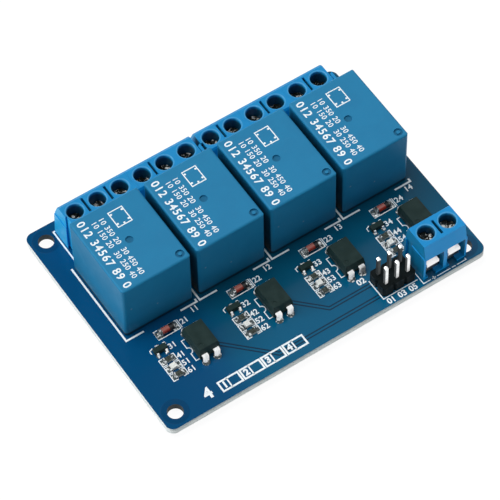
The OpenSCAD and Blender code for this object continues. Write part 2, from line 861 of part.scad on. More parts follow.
module formed_lead() {
    inner = (opto_span - opto_d) / 2 + over;
    half = opto_lead_t / 2;
    shoulder_z = board_t + opto_shoulder;
    along_x(opto_lead_w)
        polygon([[-half, shoulder_z], [half, shoulder_z], [half, opto_mid_z - half],
            [inner, opto_mid_z - half], [inner, opto_mid_z + half],
            [-half + 0.2, opto_mid_z + half], [-half, opto_mid_z + half - 0.2]]);
    block([-opto_tail_w / 2, -half, -tail_l], [opto_tail_w / 2, half, shoulder_z + half]);
}

// ---- small parts ----

function chip_y(row) = row_front - chip_dy - row * chip_pitch;

// Middle of each of a transistor's pads
function trans_feet(k) = [
    for (s = [-1, 1]) [channel_x(k) + trans_dx + s * trans_pitch / 2,
        trans_y - trans_w / 2 - trans_reach * 0.6],
    [channel_x(k) + trans_dx, trans_y + trans_w / 2 + trans_reach * 0.6]
];

module transistor_body(k) {
    color("#20201f")
        translate([channel_x(k) + trans_dx, trans_y, pad_z + trans_lift + trans_h / 2])
            intersection() {
                along_x(trans_l) drafted(trans_w, trans_h, trans_draft);
                along_y(trans_w) drafted(trans_l, trans_h, trans_draft);
            }
}

module transistor_leads() {
    color("#e4e6e6")
        for (k = [1:channels])
            translate([channel_x(k) + trans_dx, trans_y, pad_z]) {
                for (s = [-1, 1])
                    translate([s * trans_pitch / 2, 0, 0])
                        gull_lead();
                rotate([0, 0, 180])
                    gull_lead();
            }
}

// Gull-wing lead that leaves the body's front at mid height
module gull_lead() {
    mid = trans_lift + trans_h / 2;
    t = trans_lead_t;
    y0 = -trans_w / 2;
    y1 = y0 - trans_reach;
    knee = y0 - trans_reach * 0.4;
    along_x(trans_lead_w)
        polygon([[y0, mid + t / 2], [knee, mid + t / 2], [knee - t, t], [y1, t], [y1, 0],
            [knee - t * 0.2, 0], [knee + t * 0.6, mid - t / 2], [y0, mid - t / 2]]);
}

// Glass tube between its caps, lying along the row
module diode_glass(k) {
    l = diode_l - 2 * diode_cap_l;
    color("#8c2b25")
        translate([channel_x(k) + diode_dx - l / 2, diode_y, pad_z + diode_d / 2])
            rotate([0, 90, 0])
                cylinder(d = diode_glass_d, h = l, $fn = 40);
}

module diode_caps() {
    color("#d6d8d9")
        for (k = [1:channels])
            for (s = [-1, 1])
                translate([channel_x(k) + diode_dx + s * (diode_l - diode_cap_l) / 2,
                    diode_y, pad_z + diode_d / 2])
                    rotate([0, 90, 0])
                        cylinder(d = diode_d, h = diode_cap_l, center = true, $fn = 40);
}

// Places something at every chip resistor or at every light-emitting diode
module each_chip(lit) {
    for (k = [1:channels])
        for (row = [0:chip_rows - 1])
            if ((row == led_row) == lit)
                translate([channel_x(k) + chip_dx, chip_y(row), pad_z])
                    children();
}

module resistor_bodies() {
    color("#39413f")
        each_chip(false)
            translate([0, 0, chip_h / 2])
                cube([chip_l, chip_w, chip_h] - 2 * chip_cap_t * [1, 1, 1], center = true);
}

// Cap folded round each end of a chip of the given height
module end_caps(h) {
    for (s = [-1, 1])
        translate([s * (chip_l - chip_cap) / 2, 0, h / 2])
            difference() {
                cube([chip_cap, chip_w, h], center = true);
                translate([-s * chip_cap_t, 0, 0])
                    cube([chip_cap, chip_w - 2 * chip_cap_t, h - 2 * chip_cap_t],
                        center = true);
            }
}

module resistor_caps() {
    color("#d9dbdb")
        each_chip(false)
            end_caps(chip_h);
}

// Base and lens of a light-emitting diode, moulded in one
module led_bodies() {
    inner_h = led_base_h - 2 * chip_cap_t;
    color("#eef3f2")
        each_chip(true) {
            translate([0, 0, led_base_h / 2])
                cube([chip_l - 2 * chip_cap_t, chip_w - 2 * chip_cap_t, inner_h], center = true);
            translate([0, 0, led_base_h / 2])
                along_y(chip_w - 2 * chip_cap_t)
                    polygon([[-led_lens_l / 2 + chip_cap, 0], [led_lens_l / 2 - chip_cap, 0],
                        [led_lens_l / 2 - chip_cap, led_base_h / 2],
                        [led_lens_l / 2, led_base_h / 2],
                        [led_lens_l / 2 - 0.1, led_base_h / 2 + led_lens_h],
                        [-led_lens_l / 2 + 0.1, led_base_h / 2 + led_lens_h],
                        [-led_lens_l / 2, led_base_h / 2],
                        [-led_lens_l / 2 + chip_cap, led_base_h / 2]]);
        }
}

module led_caps() {
    color("#d9dbdb")
        each_chip(true)
            end_caps(led_base_h);
}

// ---- nodes ----

board();
for (k = [1:channels]) {
    relay_case(k);
    relay_base(k);
    relay_pins(k);
    optocoupler_body(k);
    optocoupler_leads(k);
    transistor_body(k);
    diode_glass(k);
}
for (b = [0:len(out_blocks) - 1]) {
    output_housing(b);
    output_clamp_frames(b);
}
output_wire_leaves();
output_clamp_screws();
power_housing();
power_clamp_frames();
power_wire_leaves();
power_clamp_screws();
header_body();
header_pins();
transistor_leads();
diode_caps();
resistor_bodies();
resistor_caps();
led_bodies();
led_caps();
solder_pads();
solder_fillets();
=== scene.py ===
"""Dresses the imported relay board: finishes, printed legend, small inner parts and studio.

Lengths are written in millimetres and turned into metres by MM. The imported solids
stay as they are; every position comes from their boxes.
"""

import logging
import math
from dataclasses import dataclass
from enum import Enum
from typing import Callable, Iterable, Mapping, Optional, Sequence, Union

import bpy
from mathutils import Matrix, Vector


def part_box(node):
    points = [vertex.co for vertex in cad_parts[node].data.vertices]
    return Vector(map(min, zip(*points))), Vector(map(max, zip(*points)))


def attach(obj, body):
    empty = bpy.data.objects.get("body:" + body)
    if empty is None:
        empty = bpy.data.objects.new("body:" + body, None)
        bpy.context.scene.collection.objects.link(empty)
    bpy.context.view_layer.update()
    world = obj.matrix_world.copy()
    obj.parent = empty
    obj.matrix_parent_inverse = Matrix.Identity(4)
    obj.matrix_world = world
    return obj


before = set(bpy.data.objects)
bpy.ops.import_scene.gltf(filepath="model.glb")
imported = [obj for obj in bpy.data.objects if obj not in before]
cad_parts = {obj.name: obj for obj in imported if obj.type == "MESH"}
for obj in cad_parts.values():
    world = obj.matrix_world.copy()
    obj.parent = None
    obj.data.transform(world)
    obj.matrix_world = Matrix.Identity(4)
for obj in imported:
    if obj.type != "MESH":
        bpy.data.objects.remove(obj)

LOG = logging.getLogger("relay_board")
MM = 0.001
CHANNELS = 4
TRACK_CUT_HEIGHT = 0.008
RELAY_PRINT_SUNK = 0.026

Point = tuple[float, float]
Colour = tuple[float, float, float, float]
Value = Union["Sock", float]


def linear(code: str) -> Colour:
    """Turns a written colour into the linear one that shaders take.

    Args:
        code: Six hexadecimal digits, red first.

    Returns:
        Red, green, blue and an alpha of one.
    """
    parts = [int(code[i : i + 2], 16) / 255 for i in (0, 2, 4)]
    red, green, blue = (
        c / 12.92 if c <= 0.04045 else ((c + 0.055) / 1.055) ** 2.4 for c in parts
    )
    return red, green, blue, 1.0


def corners(node: str) -> tuple[Vector, Vector]:
    """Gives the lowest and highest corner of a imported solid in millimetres."""
    low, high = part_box(node)
    return low / MM, high / MM


def middle(node: str) -> Vector:
    """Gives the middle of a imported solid's box in millimetres."""
    low, high = corners(node)
    return (low + high) / 2


# ---- shader maths ----


def operator(
    operation: str, swapped: bool = False
) -> Callable[["Sock", Value], "Sock"]:
    """Makes a method that joins a socket and a value by a Math node.

    Args:
        operation: The node's operation.
        swapped: Whether the value comes before the socket.

    Returns:
        The method.
    """

    def joined(self: "Sock", other: Value) -> "Sock":
        """Adds the Math node."""
        return self.math(operation, *((other, self) if swapped else (self, other)))

    return joined


class Sock:
    """A shader socket that takes part in Python expressions."""

    def __init__(self, graph: "Graph", socket: bpy.types.NodeSocket) -> None:
        """Keeps a socket and the graph in which its expressions grow.

        Args:
            graph: The graph that holds the socket.
            socket: The output that the expression stands for.
        """
        self.graph = graph
        self.socket = socket

    def math(self, operation: str, *values: Value) -> "Sock":
        """Adds one Math node over the given values."""
        settings = {"operation": operation}
        return self.graph.node("ShaderNodeMath", settings, dict(enumerate(values)))

    __add__, __radd__ = operator("ADD"), operator("ADD", True)
    __sub__, __rsub__ = operator("SUBTRACT"), operator("SUBTRACT", True)
    __mul__, __rmul__ = operator("MULTIPLY"), operator("MULTIPLY", True)
    __truediv__, __rtruediv__ = operator("DIVIDE"), operator("DIVIDE", True)
    __pow__, __rpow__ = operator("POWER"), operator("POWER", True)
    most = operator("MAXIMUM")

    def __abs__(self) -> "Sock":
        """Drops the sign."""
        return self.math("ABSOLUTE", self)

    def part(self) -> "Sock":
        """Gives the part after the point."""
        return self.math("FRACT", self)

    def rise(self, low: float, high: float) -> "Sock":
        """Goes smoothly from nought at one value to one at another.

        Args:
            low: The value at which the result is nought.
            high: The value at which it is one; it may be the smaller.

        Returns:
            A mask from nought to one.
        """
        settings = {"interpolation_type": "SMOOTHSTEP"}
        values = {0: self, 1: low, 2: high}
        return self.graph.node("ShaderNodeMapRange", settings, values)

    def near(self, centre: float, half: float, soft: float) -> "Sock":
        """Is one within a distance of a centre, with a soft border.

        Args:
            centre: The middle of the band.
            half: Half the band's width.
            soft: The width of its border.

        Returns:
            A mask from nought to one.
        """
        return abs(self - centre).rise(half + soft / 2, half - soft / 2)


class Graph:
    """The node tree of one material or world."""

    def __init__(self, owner: Union[bpy.types.Material, bpy.types.World]) -> None:
        """Empties the owner's node tree.

        Args:
            owner: The material or world whose nodes are made here.
        """
        owner.use_nodes = True
        self.owner = owner
        self.tree = owner.node_tree
        self.tree.nodes.clear()

    def node(
        self,
        kind: str,
        settings: Optional[Mapping[str, object]] = None,
        sockets: Optional[Mapping[Union[int, str], object]] = None,
        output: Union[int, str] = 0,
    ) -> Sock:
        """Adds a node of any type.

        Args:
            kind: The node's type.
            settings: Its own properties, which are set first.
            sockets: Values or links by socket name or number.
            output: The output that is given back.

        Returns:
            The chosen output, or the first input of a node without outputs.
        """
        node = self.tree.nodes.new(kind)
        for name, value in (settings or {}).items():
            setattr(node, name, value)
        for key, value in (sockets or {}).items():
            if isinstance(value, Sock):
                self.tree.links.new(value.socket, node.inputs[key])
            else:
                node.inputs[key].default_value = value
        return Sock(self, node.outputs[output] if node.outputs else node.inputs[0])

    def seen(self) -> Sock:
        """Is one for the rays that meet the white surroundings, not those that light.

        Returns:
            A mask of nought and one.
        """
        kinds = ("Camera", "Glossy", "Transmission")
        path = "ShaderNodeLightPath"
        camera, glossy, through = [
            self.node(path, output=f"Is {kind} Ray") for kind in kinds
        ]
        return camera.most(glossy).most(through)

    def mix(
        self, share: Value, first: Union[Sock, str], second: Union[Sock, str]
    ) -> Sock:
        """Mixes two colours, each a socket's or a written one.

        Args:
            share: How much of the second colour there is.
            first: The colour at nought.
            second: The colour at one.

        Returns:
            The mixed colour.
        """
        settings = {"data_type": "RGBA"}
        ends = [c if isinstance(c, Sock) else linear(c) for c in (first, second)]
        return self.node("ShaderNodeMix", settings, {0: share, 6: ends[0], 7: ends[1]}, 2)

    def close(self, shader: Sock) -> None:
        """Leads a shader to the material's or world's output.

        Args:
            shader: The finished shader.
        """
        world = isinstance(self.owner, bpy.types.World)
        kind = "ShaderNodeOutputWorld" if world else "ShaderNodeOutputMaterial"
        self.node(kind, None, {"Surface": shader})


class Surface(Graph):
    """A material's nodes, with the shaded point in millimetres and how it faces."""

    def __init__(self, name: str) -> None:
        """Makes the material and reads the shaded point and the normal.

        Args:
            name: The material's name.
        """
        super().__init__(bpy.data.materials.new(name))
        metres = self.node("ShaderNodeTexCoord", output="Object")
        self.point = self.node(
            "ShaderNodeVectorMath", {"operation": "SCALE"}, {0: metres, "Scale": 1 / MM}
        )
        normal = self.node("ShaderNodeNewGeometry", output="Normal")
        self.x, self.y, self.z = self.axes(self.point)
        self.facing_x, self.facing_y, self.facing_z = self.axes(normal)

    def axes(self, vector: Sock) -> list[Sock]:
        """Parts a vector into x, y and z."""
        return [
            self.node("ShaderNodeSeparateXYZ", None, {0: vector}, axis)
            for axis in range(3)
        ]

    def noise(self, grain: float, detail: float = 2.0, warp: float = 0.0) -> Sock:
        """Gives a cloudy pattern.

        Args:
            grain: The size of its largest patches in millimetres.
            detail: How many finer layers it has.
            warp: How much it is distorted.

        Returns:
            A value about one half.
        """
        values = {
            "Vector": self.point,
            "Scale": 1 / grain,
            "Detail": detail,
            "Distortion": warp,
        }
        return self.node("ShaderNodeTexNoise", None, values)

    def streaks(self, stretch: Sequence[float], detail: float) -> Sock:
        """Gives noise drawn out along some axes.

        Args:
            stretch: How often the pattern changes per millimetre along x, y and z.
            detail: How many finer layers it has.

        Returns:
            A value about one half.
        """
        settings = {"vector_type": "POINT"}
        values = {"Vector": self.point, "Scale": tuple(stretch)}
        scaled = self.node("ShaderNodeMapping", settings, values)
        return self.node(
            "ShaderNodeTexNoise", None, {"Vector": scaled, "Scale": 1.0, "Detail": detail}
        )

    def specks(self, spacing: float, size: float) -> Sock:
        """Scatters small round specks.

        Args:
            spacing: Their mean distance in millimetres.
            size: Their share of that distance.

        Returns:
            A mask that is one in a speck.
        """
        values = {"Vector": self.point, "Scale": 1 / spacing}
        gap = self.node("ShaderNodeTexVoronoi", None, values, "Distance")
        return gap.rise(size, size * 0.5)

    def bump(self, height: Sock, depth: float, strength: float = 1.0) -> Sock:
        """Turns a height pattern into a normal.

        Args:
            height: The pattern, about nought to one.
            depth: What a height of one means in millimetres.
            strength: How strongly it shows.

        Returns:
            The bent normal.
        """
        values = {"Strength": strength, "Distance": depth * MM, "Height": height}
        return self.node("ShaderNodeBump", None, values)

    def skin(self, **sockets: object) -> Sock:
        """Adds the surface shader, its sockets named with underscores."""
        named = {key.replace("_", " "): value for key, value in sockets.items()}
        return self.node("ShaderNodeBsdfPrincipled", None, named, "BSDF")


# ---- finishes ----


@dataclass(frozen=True)
class Finish:
    """A surface finish with its main colour."""

    name: str
    colour: str

    def material(self) -> bpy.types.Material:
        """Makes the finish's material, or finds it.

        Returns:
            The material of that name.
        """
        found = bpy.data.materials.get(self.name)
        if found is not None:
            return found
        surface = Surface(self.name)
        surface.close(self.shader(surface))
        return surface.owner

    def shader(self, at: Surface) -> Sock:
        """Builds the finish's shader.

        Args:
            at: The shaded surface.

        Returns:
            The shader's output.
        """
        raise NotImplementedError


@dataclass(frozen=True)
class MouldedPlastic(Finish):
    """Injection-moulded plastic with flow clouds, eroded grain, scuffs, a fine dusting,
    painted sheen on top faces and painted shade.
    """

    shade: str = "000000"
    # Colour of the dusting and of the painted sheen and painted highlights.
    dust: str = "A9B8BC"
    film: float = 0.05
    cloud: float = 0.5
    cloud_size: float = 5.0
    roughness: float = 0.42
    grain: float = 0.12
    grain_depth: float = 0.004
    scuffs: float = 0.35
    refraction: float = 1.3
    # Colour of the painted shade.
    hollow: str = "04121C"

    def tone(self, at: Surface, base: Sock) -> Sock:
        """Shifts the colour of some faces; the plain plastic keeps its own."""
        return base

    def relief(self, at: Surface) -> Value:
        """Gives extra moulded relief; the plain plastic has none."""
        return 0.0

    def bruise(self, at: Surface) -> Value:
        """Tells where the plastic is painted lighter; the plain plastic has no such place.
        """
        return 0.0

    def deep(self, at: Surface) -> Value:
        """Tells where shade is painted into the plastic; the plain plastic has none."""
        return 0.0

    def shader(self, at: Surface) -> Sock:
        """Builds the plastic from clouds, grain, scuffs, relief, painted sheen and painted
        shade.

        Args:
            at: The shaded surface.

        Returns:
            The shader's output.
        """
        clouds = at.noise(self.cloud_size, 3.0, 0.4).rise(0.35, 0.7)
        speckle = at.noise(self.grain * 3, 1.0)
        scuff = at.streaks((0.5, 3.5, 2.5), 3.0).rise(0.62, 0.75)
        share = clouds * self.cloud + (speckle - 0.5) * 0.25
        flow = at.mix(share, self.colour, self.shade)
        base = self.tone(at, flow)
        # Painted sheen: top faces are lightened, as far as film says, together with their
        # dusting.
        level = at.facing_z.rise(0.6, 0.95)
        dust_and_sheen_on_tops = (speckle * 0.5 + 0.75) * level * self.film
        pale = dust_and_sheen_on_tops + scuff * self.scuffs * 0.06 + self.bruise(at)
        dusty_and_sheened = at.mix(pale, base, self.dust)
        # Painted shade: mixed in where deep() marks the plastic.
        worn = at.mix(self.deep(at), dusty_and_sheened, self.hollow)
        grain = at.noise(self.grain, 2.0)
        broad = at.noise(9.0, 1.0)
        height = grain + broad * 2.5 + self.relief(at)
        return at.skin(
            Base_Color=worn,
            Roughness=self.roughness + (clouds - 0.5) * 0.06 + scuff * 0.05,
            IOR=self.refraction,
            Normal=at.bump(height, self.grain_depth),
        )


@dataclass(frozen=True)
class RelayPlastic(MouldedPlastic):
    """The relay cases' plastic, with small moulding marks on their front faces and painted
    shade round its recesses, gaps, sides and foot.
    """

    row_middle: float = 0.0
    pitch: float = 16.7
    top: float = 16.8
    foot: float = 1.9
    mark_radius: float = 0.28
    mark_height: float = 6.0
    mark_spots: tuple[Point, ...] = ((-0.26, 7.1), (-6.0, 10.0))

    def marks(self, at: Surface) -> Value:
        """Places two small round marks on each case's front face.

        Args:
            at: The shaded surface.

        Returns:
            A mask of the marks.
        """
        turn = ((at.x - self.row_middle) / self.pitch).part()
        across = (turn - 0.5) * self.pitch
        found: Value = 0.0
        for along, up in self.mark_spots:
            gap = ((across - along) ** 2.0 + (at.z - up) ** 2.0) ** 0.5
            found = gap.rise(self.mark_radius, self.mark_radius * 0.4) + found
        return found * at.facing_y.rise(-0.7, -0.95)

    def relief(self, at: Surface) -> Value:
        """Raises the marks."""
        return self.marks(at) * self.mark_height

    def bruise(self, at: Surface) -> Value:
        """Lightens the marks."""
        return self.marks(at) * 0.3

    def deep(self, at: Surface) -> Value:
        """Marks painted shade: in the top's recesses, on the walls between cases, on the
        left and front faces, and a painted shadow above the foot.

        Args:
            at: The shaded surface.

        Returns:
            A mask that is stronger further down.
        """
        # Painted shade in the top's recesses and on the walls between the cases.
        floor = at.facing_z.rise(0.9, 0.98) * at.z.rise(self.top - 0.05, self.top - 0.2)
        wall = abs(at.facing_x).rise(0.8, 0.95)
        inside = at.x.near(self.row_middle, 2 * self.pitch - 2.0, 0.2)
        gap = wall * inside * at.z.rise(self.top - 0.2, self.top - 4.0)
        # Painted shade on the left and front faces, darker towards the bottom, and a
        # painted shadow just above the foot.
        side = at.facing_x.rise(-0.5, -0.9) + at.facing_y.rise(-0.5, -0.9)
        low = at.z.rise(self.foot + 5.0, self.foot) * 0.2
        edge = at.z.rise(self.foot + 0.9, self.foot + 0.3) * 0.6
        return floor * 0.3 + gap * 0.7 + side * (0.1 + low + edge)


@dataclass(frozen=True)
class TerminalPlastic(MouldedPlastic):
    """The terminals' plastic, with painted shade in its bores and slots, painted highlight
    rings round its bores and painted light on its front faces; its left end is painted
    lighter or darker by the row.
    """

    inner: tuple[float, float, float] = (0.0, 0.0, 0.0)
    reach: float = 1.0
    half_width: float = 2.0
    ways: tuple[float, float] = (0.0, 5.08)
    pitch: float = 5.08
    bore: float = 1.725
    rim: float = 0.13
    # Painted light on the front faces; on the left end, painted light for the output row
    # and painted shade for the power block.
    front: str = "0A9BE5"
    left: str = "1FA8E4"

    def tone(self, at: Surface, base: Sock) -> Sock:
        """Paints light onto the front faces and the row's own painted colour onto the left
        ends: light on the output row, shade on the power block.

        Args:
            at: The shaded surface.
            base: The colour so far.

        Returns:
            The tinted colour.
        """
        painted_light_on_fronts = at.mix(at.facing_y.rise(-0.3, -0.8), base, self.front)
        return at.mix(at.facing_x.rise(-0.6, -0.9), painted_light_on_fronts, self.left)

    def bruise(self, at: Surface) -> Value:
        """Paints a highlight ring round each bore.

        Args:
            at: The shaded surface.

        Returns:
            A mask of the rings.
        """
        middle_x, middle_y, top = self.inner
        turns = [((at.x - start) / self.pitch + 0.5).part() for start in self.ways]
        right = at.x.rise(middle_x - 0.01, middle_x + 0.01)
        turn = turns[0] * (1 - right) + turns[1] * right
        across = (turn - 0.5) * self.pitch
        gap = (across ** 2.0 + (at.y - middle_y) ** 2.0) ** 0.5
        # Painted highlight: a pale ring round each bore's chamfer, uneven along its way.
        ring = gap.near(self.bore + self.rim, self.rim, 0.08)
        worn = at.noise(1.5, 2.0) * 0.3 + 0.1
        return ring * worn * at.z.rise(top - 0.5, top - 0.3)

    def deep(self, at: Surface) -> Value:
        """Marks painted shade on the walls below the top, between the block's outer faces.

        Args:
            at: The shaded surface.

        Returns:
            A mask that is stronger further down.
        """
        middle_x, middle_y, top = self.inner
        within = at.x.near(middle_x, self.reach, 0.1)
        across = at.y.near(middle_y, self.half_width, 0.1)
        # Painted shade: darker further below the top, inside the block.
        return at.z.rise(top - 0.1, top - 1.2) * within * across * 0.8


@dataclass(frozen=True)
class SolderMask(Finish):
    """Glossy solder mask over copper and glass laminate, with bare sawn edges."""

    open_colour: str = "004C69"
    front_colour: str = "005A7F"
    laminate: str = "F2F8F8"
    resin: str = "CDD8D8"
    bare: str = "04365A"
    stain: str = "2F5868"
    # Painted shade: the dark colour of the inner hole walls.
    drilled: str = "1A2C33"
    half: tuple[float, float] = (36.5, 26.5)
    hole: tuple[float, float] = (33.3, 23.2)
    ring: float = 2.7
    lit_from: float = -25.0
    lit_to: float = -13.0
    thickness: float = 1.6

    def shader(self, at: Surface) -> Sock:
        """Builds the mask, its copper areas with painted reflection, clear rings, laminate
        edges and painted shade in the holes.

        Args:
            at: The shaded surface.

        Returns:
            The shader's output.
        """
        edge = abs(at.facing_z).rise(0.7, 0.4)
        cloud = at.noise(11.0, 2.0, 0.3)
        # Changes colour to the right and towards the front: partly copper pours under the
        # mask, partly painted reflection.
        spread = (at.x + (cloud - 0.5) * 6.0).rise(self.lit_from, self.lit_to)
        front = (at.y + (cloud - 0.5) * 4.0).rise(-9.0, -22.0)
        opened = at.mix(front, self.open_colour, self.front_colour)
        pour_and_painted_reflection = at.mix(spread, self.colour, opened)
        from_hole = (
            (abs(at.x) - self.hole[0]) ** 2.0 + (abs(at.y) - self.hole[1]) ** 2.0
        ) ** 0.5
        clear = from_hole.rise(self.ring + 0.15, self.ring - 0.05)
        weave = at.streaks((2.2, 0.12, 1.0), 1.0)
        weft = at.streaks((0.12, 2.2, 1.0), 1.0)
        cloth = (weave + weft) * 0.5
        masked = at.mix(clear * 0.45 + (cloth - 0.5) * 0.2, pour_and_painted_reflection, self.bare)
        layers = at.streaks((0.35, 0.35, 9.0), 2.0).rise(0.35, 0.65)
        sawn = at.mix(layers, self.laminate, self.resin)
        rim = at.z.rise(self.thickness * 0.3, self.thickness) ** 1.5
        shown = rim * (0.5 - at.facing_x.rise(-0.5, -0.9) * 0.5)
        rimmed = at.mix(shown, sawn, self.stain)
        # The outer edges show the laminate; the inner hole walls get the painted shade.
        outer = (
            (abs(at.x) - self.half[0])
            .most(abs(at.y) - self.half[1])
            .rise(-1.2, -0.9)
        )
        body = at.mix(outer, self.drilled, rimmed)
        dust = at.specks(1.7, 0.035)
        peel = at.noise(0.8, 2.0)
        chips = at.noise(0.09, 2.0)
        height = peel * 0.4 + cloth * 0.5 + edge * chips * 5.0 - clear * 4.0
        return at.skin(
            Base_Color=at.mix(edge, masked, body),
            Roughness=0.16 + edge * 0.45 + dust * 0.2 + (peel - 0.5) * 0.05,
            IOR=1.4,
            Normal=at.bump(height, 0.003),
        )


@dataclass(frozen=True)
class Metal(Finish):
    """Plated or tinned metal with patches and fine rubbed lines; the patches are wear, and
    on the screws and caps painted glints.
    """

    # Colour of the patches: matt metal, and on the screws and caps painted glints.
    dull: str = "8A8F92"
    roughness: float = 0.25
    lines: tuple[float, float, float] = (2.0, 12.0, 12.0)
    depth: float = 0.002
    pits: float = 0.2
    metallic: float = 1.0
    slope: float = 0.0
    fall: float = 0.0
    patch: float = 0.9
    worn: tuple[float, float, float] = (0.4, 0.75, 0.6)
    mirror: str = "141C1E"

    def mirrored(self, at: Surface) -> Value:
        """Tells where dark things are mirrored; the plain metal has no such place."""
        return 0.0

    def shader(self, at: Surface) -> Sock:
        """Builds the metal from patches, rubbed lines and small pits.

        Args:
            at: The shaded surface.

        Returns:
            The shader's output.
        """
        patches = at.noise(self.patch, 3.0, 0.6)
        rubbed = at.streaks(self.lines, 2.0)
        pits = at.specks(0.35, 0.22)
        start, end, most = self.worn
        share = patches.rise(start, end) * most + pits * self.pits
        plain = at.mix(share, self.colour, self.dull)
        colour = at.mix(self.mirrored(at), plain, self.mirror)
        rolled = (at.z * self.slope + abs(at.y) * self.fall) * (1 / self.depth)
        height = rubbed * 0.6 + patches * 0.5 - pits * self.pits - rolled
        return at.skin(
            Base_Color=colour,
            Metallic=self.metallic,
            Roughness=self.roughness + (patches - 0.5) * 0.2 + pits * 0.1,
            Normal=at.bump(height, self.depth),
        )


@dataclass(frozen=True)
class PinMetal(Metal):
    """The upright pins' plating, dark where it mirrors the block and its neighbours."""

    rear: float = 0.0
    top: float = 10.0

    def mirrored(self, at: Surface) -> Value:
        """Marks the pins' left faces and the shafts of the rear row.

        Args:
            at: The shaded surface.

        Returns:
            How much of the dark is mirrored.
        """
        shaft = at.z.rise(self.top - 0.5, self.top - 0.9)
        rear = at.y.rise(self.rear - 0.1, self.rear + 0.1) * shaft * 0.93
        left = at.facing_x.rise(-0.4, -0.8) * shaft * 0.8
        low = at.z.rise(self.top - 3.2, self.top - 6.2) * 0.55
        return left.most(rear).most(low)


@dataclass(frozen=True)
class Solder(Finish):
    """Hot-dipped solder: bright, softly rippled, with flux film near the mask."""

    film: str = "7C7A6A"
    bright: str = "FBFDFD"
    depth: float = 0.01
    glints: float = 0.0
    fall: float = 0.0
    board_top: float = 1.6

    def shader(self, at: Surface) -> Sock:
        """Builds the solder from ripples and a film of flux.

        Args:
            at: The shaded surface.

        Returns:
            The shader's output.
        """
        ripple = at.noise(0.45, 2.0, 0.8)
        frost = at.noise(0.1, 3.0)
        low = at.z.rise(self.board_top + 0.25, self.board_top)
        film = low * at.noise(0.6, 2.0).rise(0.5, 0.7)
        colour = at.mix(film * 0.5, self.colour, self.film)
        glint = at.noise(0.55, 1.0, 0.5).rise(0.53, 0.6) * self.glints
        return at.skin(
            Base_Color=at.mix(glint, colour, self.bright),
            Metallic=0.7,
            Roughness=0.3 + frost * 0.2 + film * 0.2,
            Normal=at.bump(
                ripple + frost * 0.15 - abs(at.y) * (self.fall / self.depth), self.depth
            ),
        )


@dataclass(frozen=True)
class MouldCompound(Finish):
    """Filled epoxy of a component body: matt, faintly speckled, smoother on top."""

    speck: str = "37443F"
    roughness: float = 0.5

    def shader(self, at: Surface) -> Sock:
        """Builds the compound from filler specks and a fine blasted grain.

        Args:
            at: The shaded surface.

        Returns:
            The shader's output.
        """
        filler = at.specks(0.16, 0.28)
        cloud = at.noise(1.8, 3.0).rise(0.35, 0.7)
        share = cloud * 0.35 + filler * 0.25
        top = at.facing_z.rise(0.6, 0.95)
        grain = at.noise(0.08, 2.0)
        return at.skin(
            Base_Color=at.mix(share, self.colour, self.speck),
            Roughness=self.roughness + (cloud - 0.5) * 0.1 - top * 0.06,
            IOR=1.3,
            Normal=at.bump(grain + filler * 0.4, 0.006),
        )


@dataclass(frozen=True)
class DiodeGlass(Finish):
    """Tinted glass sleeve with a dark band painted at one end."""

    band: str = "0B0B0C"
    stain: str = "701E16"
    shadow: str = "3A0C08"
    gleam: str = "F2B4A6"
    band_from: float = 0.0
    band_to: float = 1.0
    row_middle: float = 0.0
    pitch: float = 16.7

    def shader(self, at: Surface) -> Sock:
        """Builds the glass, its painted band, a painted shadow underneath and a painted
        highlight on top.

        Args:
            at: The shaded surface.

        Returns:
            The shader's output.
        """
        turn = ((at.x - self.row_middle) / self.pitch).part()
        across = (turn - 0.5) * self.pitch
        centre = (self.band_from + self.band_to) / 2
        half = (self.band_to - self.band_from) / 2
        waver = (at.noise(0.5) - 0.5) * 0.12
        painted = (across + waver).near(centre, half, 0.06)
        swirl = at.noise(0.5, 2.0, 1.0)
        stained = at.mix(swirl * 0.35, self.colour, self.stain)
        # Painted shadow on the underside and a painted highlight along the top.
        under = at.facing_z.rise(0.45, 0.0) * 0.8
        deep = at.mix(under, stained, self.shadow)
        painted_shade_and_highlight = at.mix(at.facing_z.rise(0.75, 0.98) * 0.45, deep, self.gleam)
        glass = at.skin(
            Base_Color=painted_shade_and_highlight,
            Roughness=0.06 + swirl * 0.06,
            IOR=1.5,
            Transmission_Weight=0.35,
            Normal=at.bump(swirl, 0.01),
        )
        paint = at.skin(
            Base_Color=linear(self.band),
            Roughness=0.35 + swirl * 0.1,
            Normal=at.bump(swirl, 0.01),
        )
        return at.node("ShaderNodeMixShader", None, {0: painted, 1: glass, 2: paint})


@dataclass(frozen=True)
class ChipCeramic(Finish):
    """Chip resistor body: dark glaze above, white fired ceramic at its sides."""

    side: str = "B9C0BC"
    patch: str = "5C665F"

    def shader(self, at: Surface) -> Sock:
        """Builds the glaze over the ceramic.

        Args:
            at: The shaded surface.

        Returns:
            The shader's output.
        """
        top = at.facing_z.rise(0.5, 0.9)
        mottle = at.noise(0.35, 3.0).rise(0.4, 0.7)
        glaze = at.mix(mottle * 0.6, self.colour, self.patch)
        grain = at.noise(0.06, 2.0)
        return at.skin(
            Base_Color=at.mix(top, self.side, glaze),
            Roughness=0.55 - top * 0.2 + (grain - 0.5) * 0.1,
            Normal=at.bump(grain + mottle, 0.008),
        )


@dataclass(frozen=True)
class ClearResin(Finish):
    """Milky resin of a light-emitting chip, slightly see-through."""

    deep: str = "D8CF9E"

    def shader(self, at: Surface) -> Sock:
        """Builds the resin with cloudy depth.

        Args:
            at: The shaded surface.

        Returns:
            The shader's output.
        """
        cloud = at.noise(0.5, 2.0)
        colour = at.mix(cloud * 0.6, self.colour, self.deep)
        return at.skin(
            Base_Color=colour,
            Roughness=0.22 + cloud * 0.1,
            IOR=1.5,
            Transmission_Weight=0.15,
            Normal=at.bump(cloud, 0.01),
        )


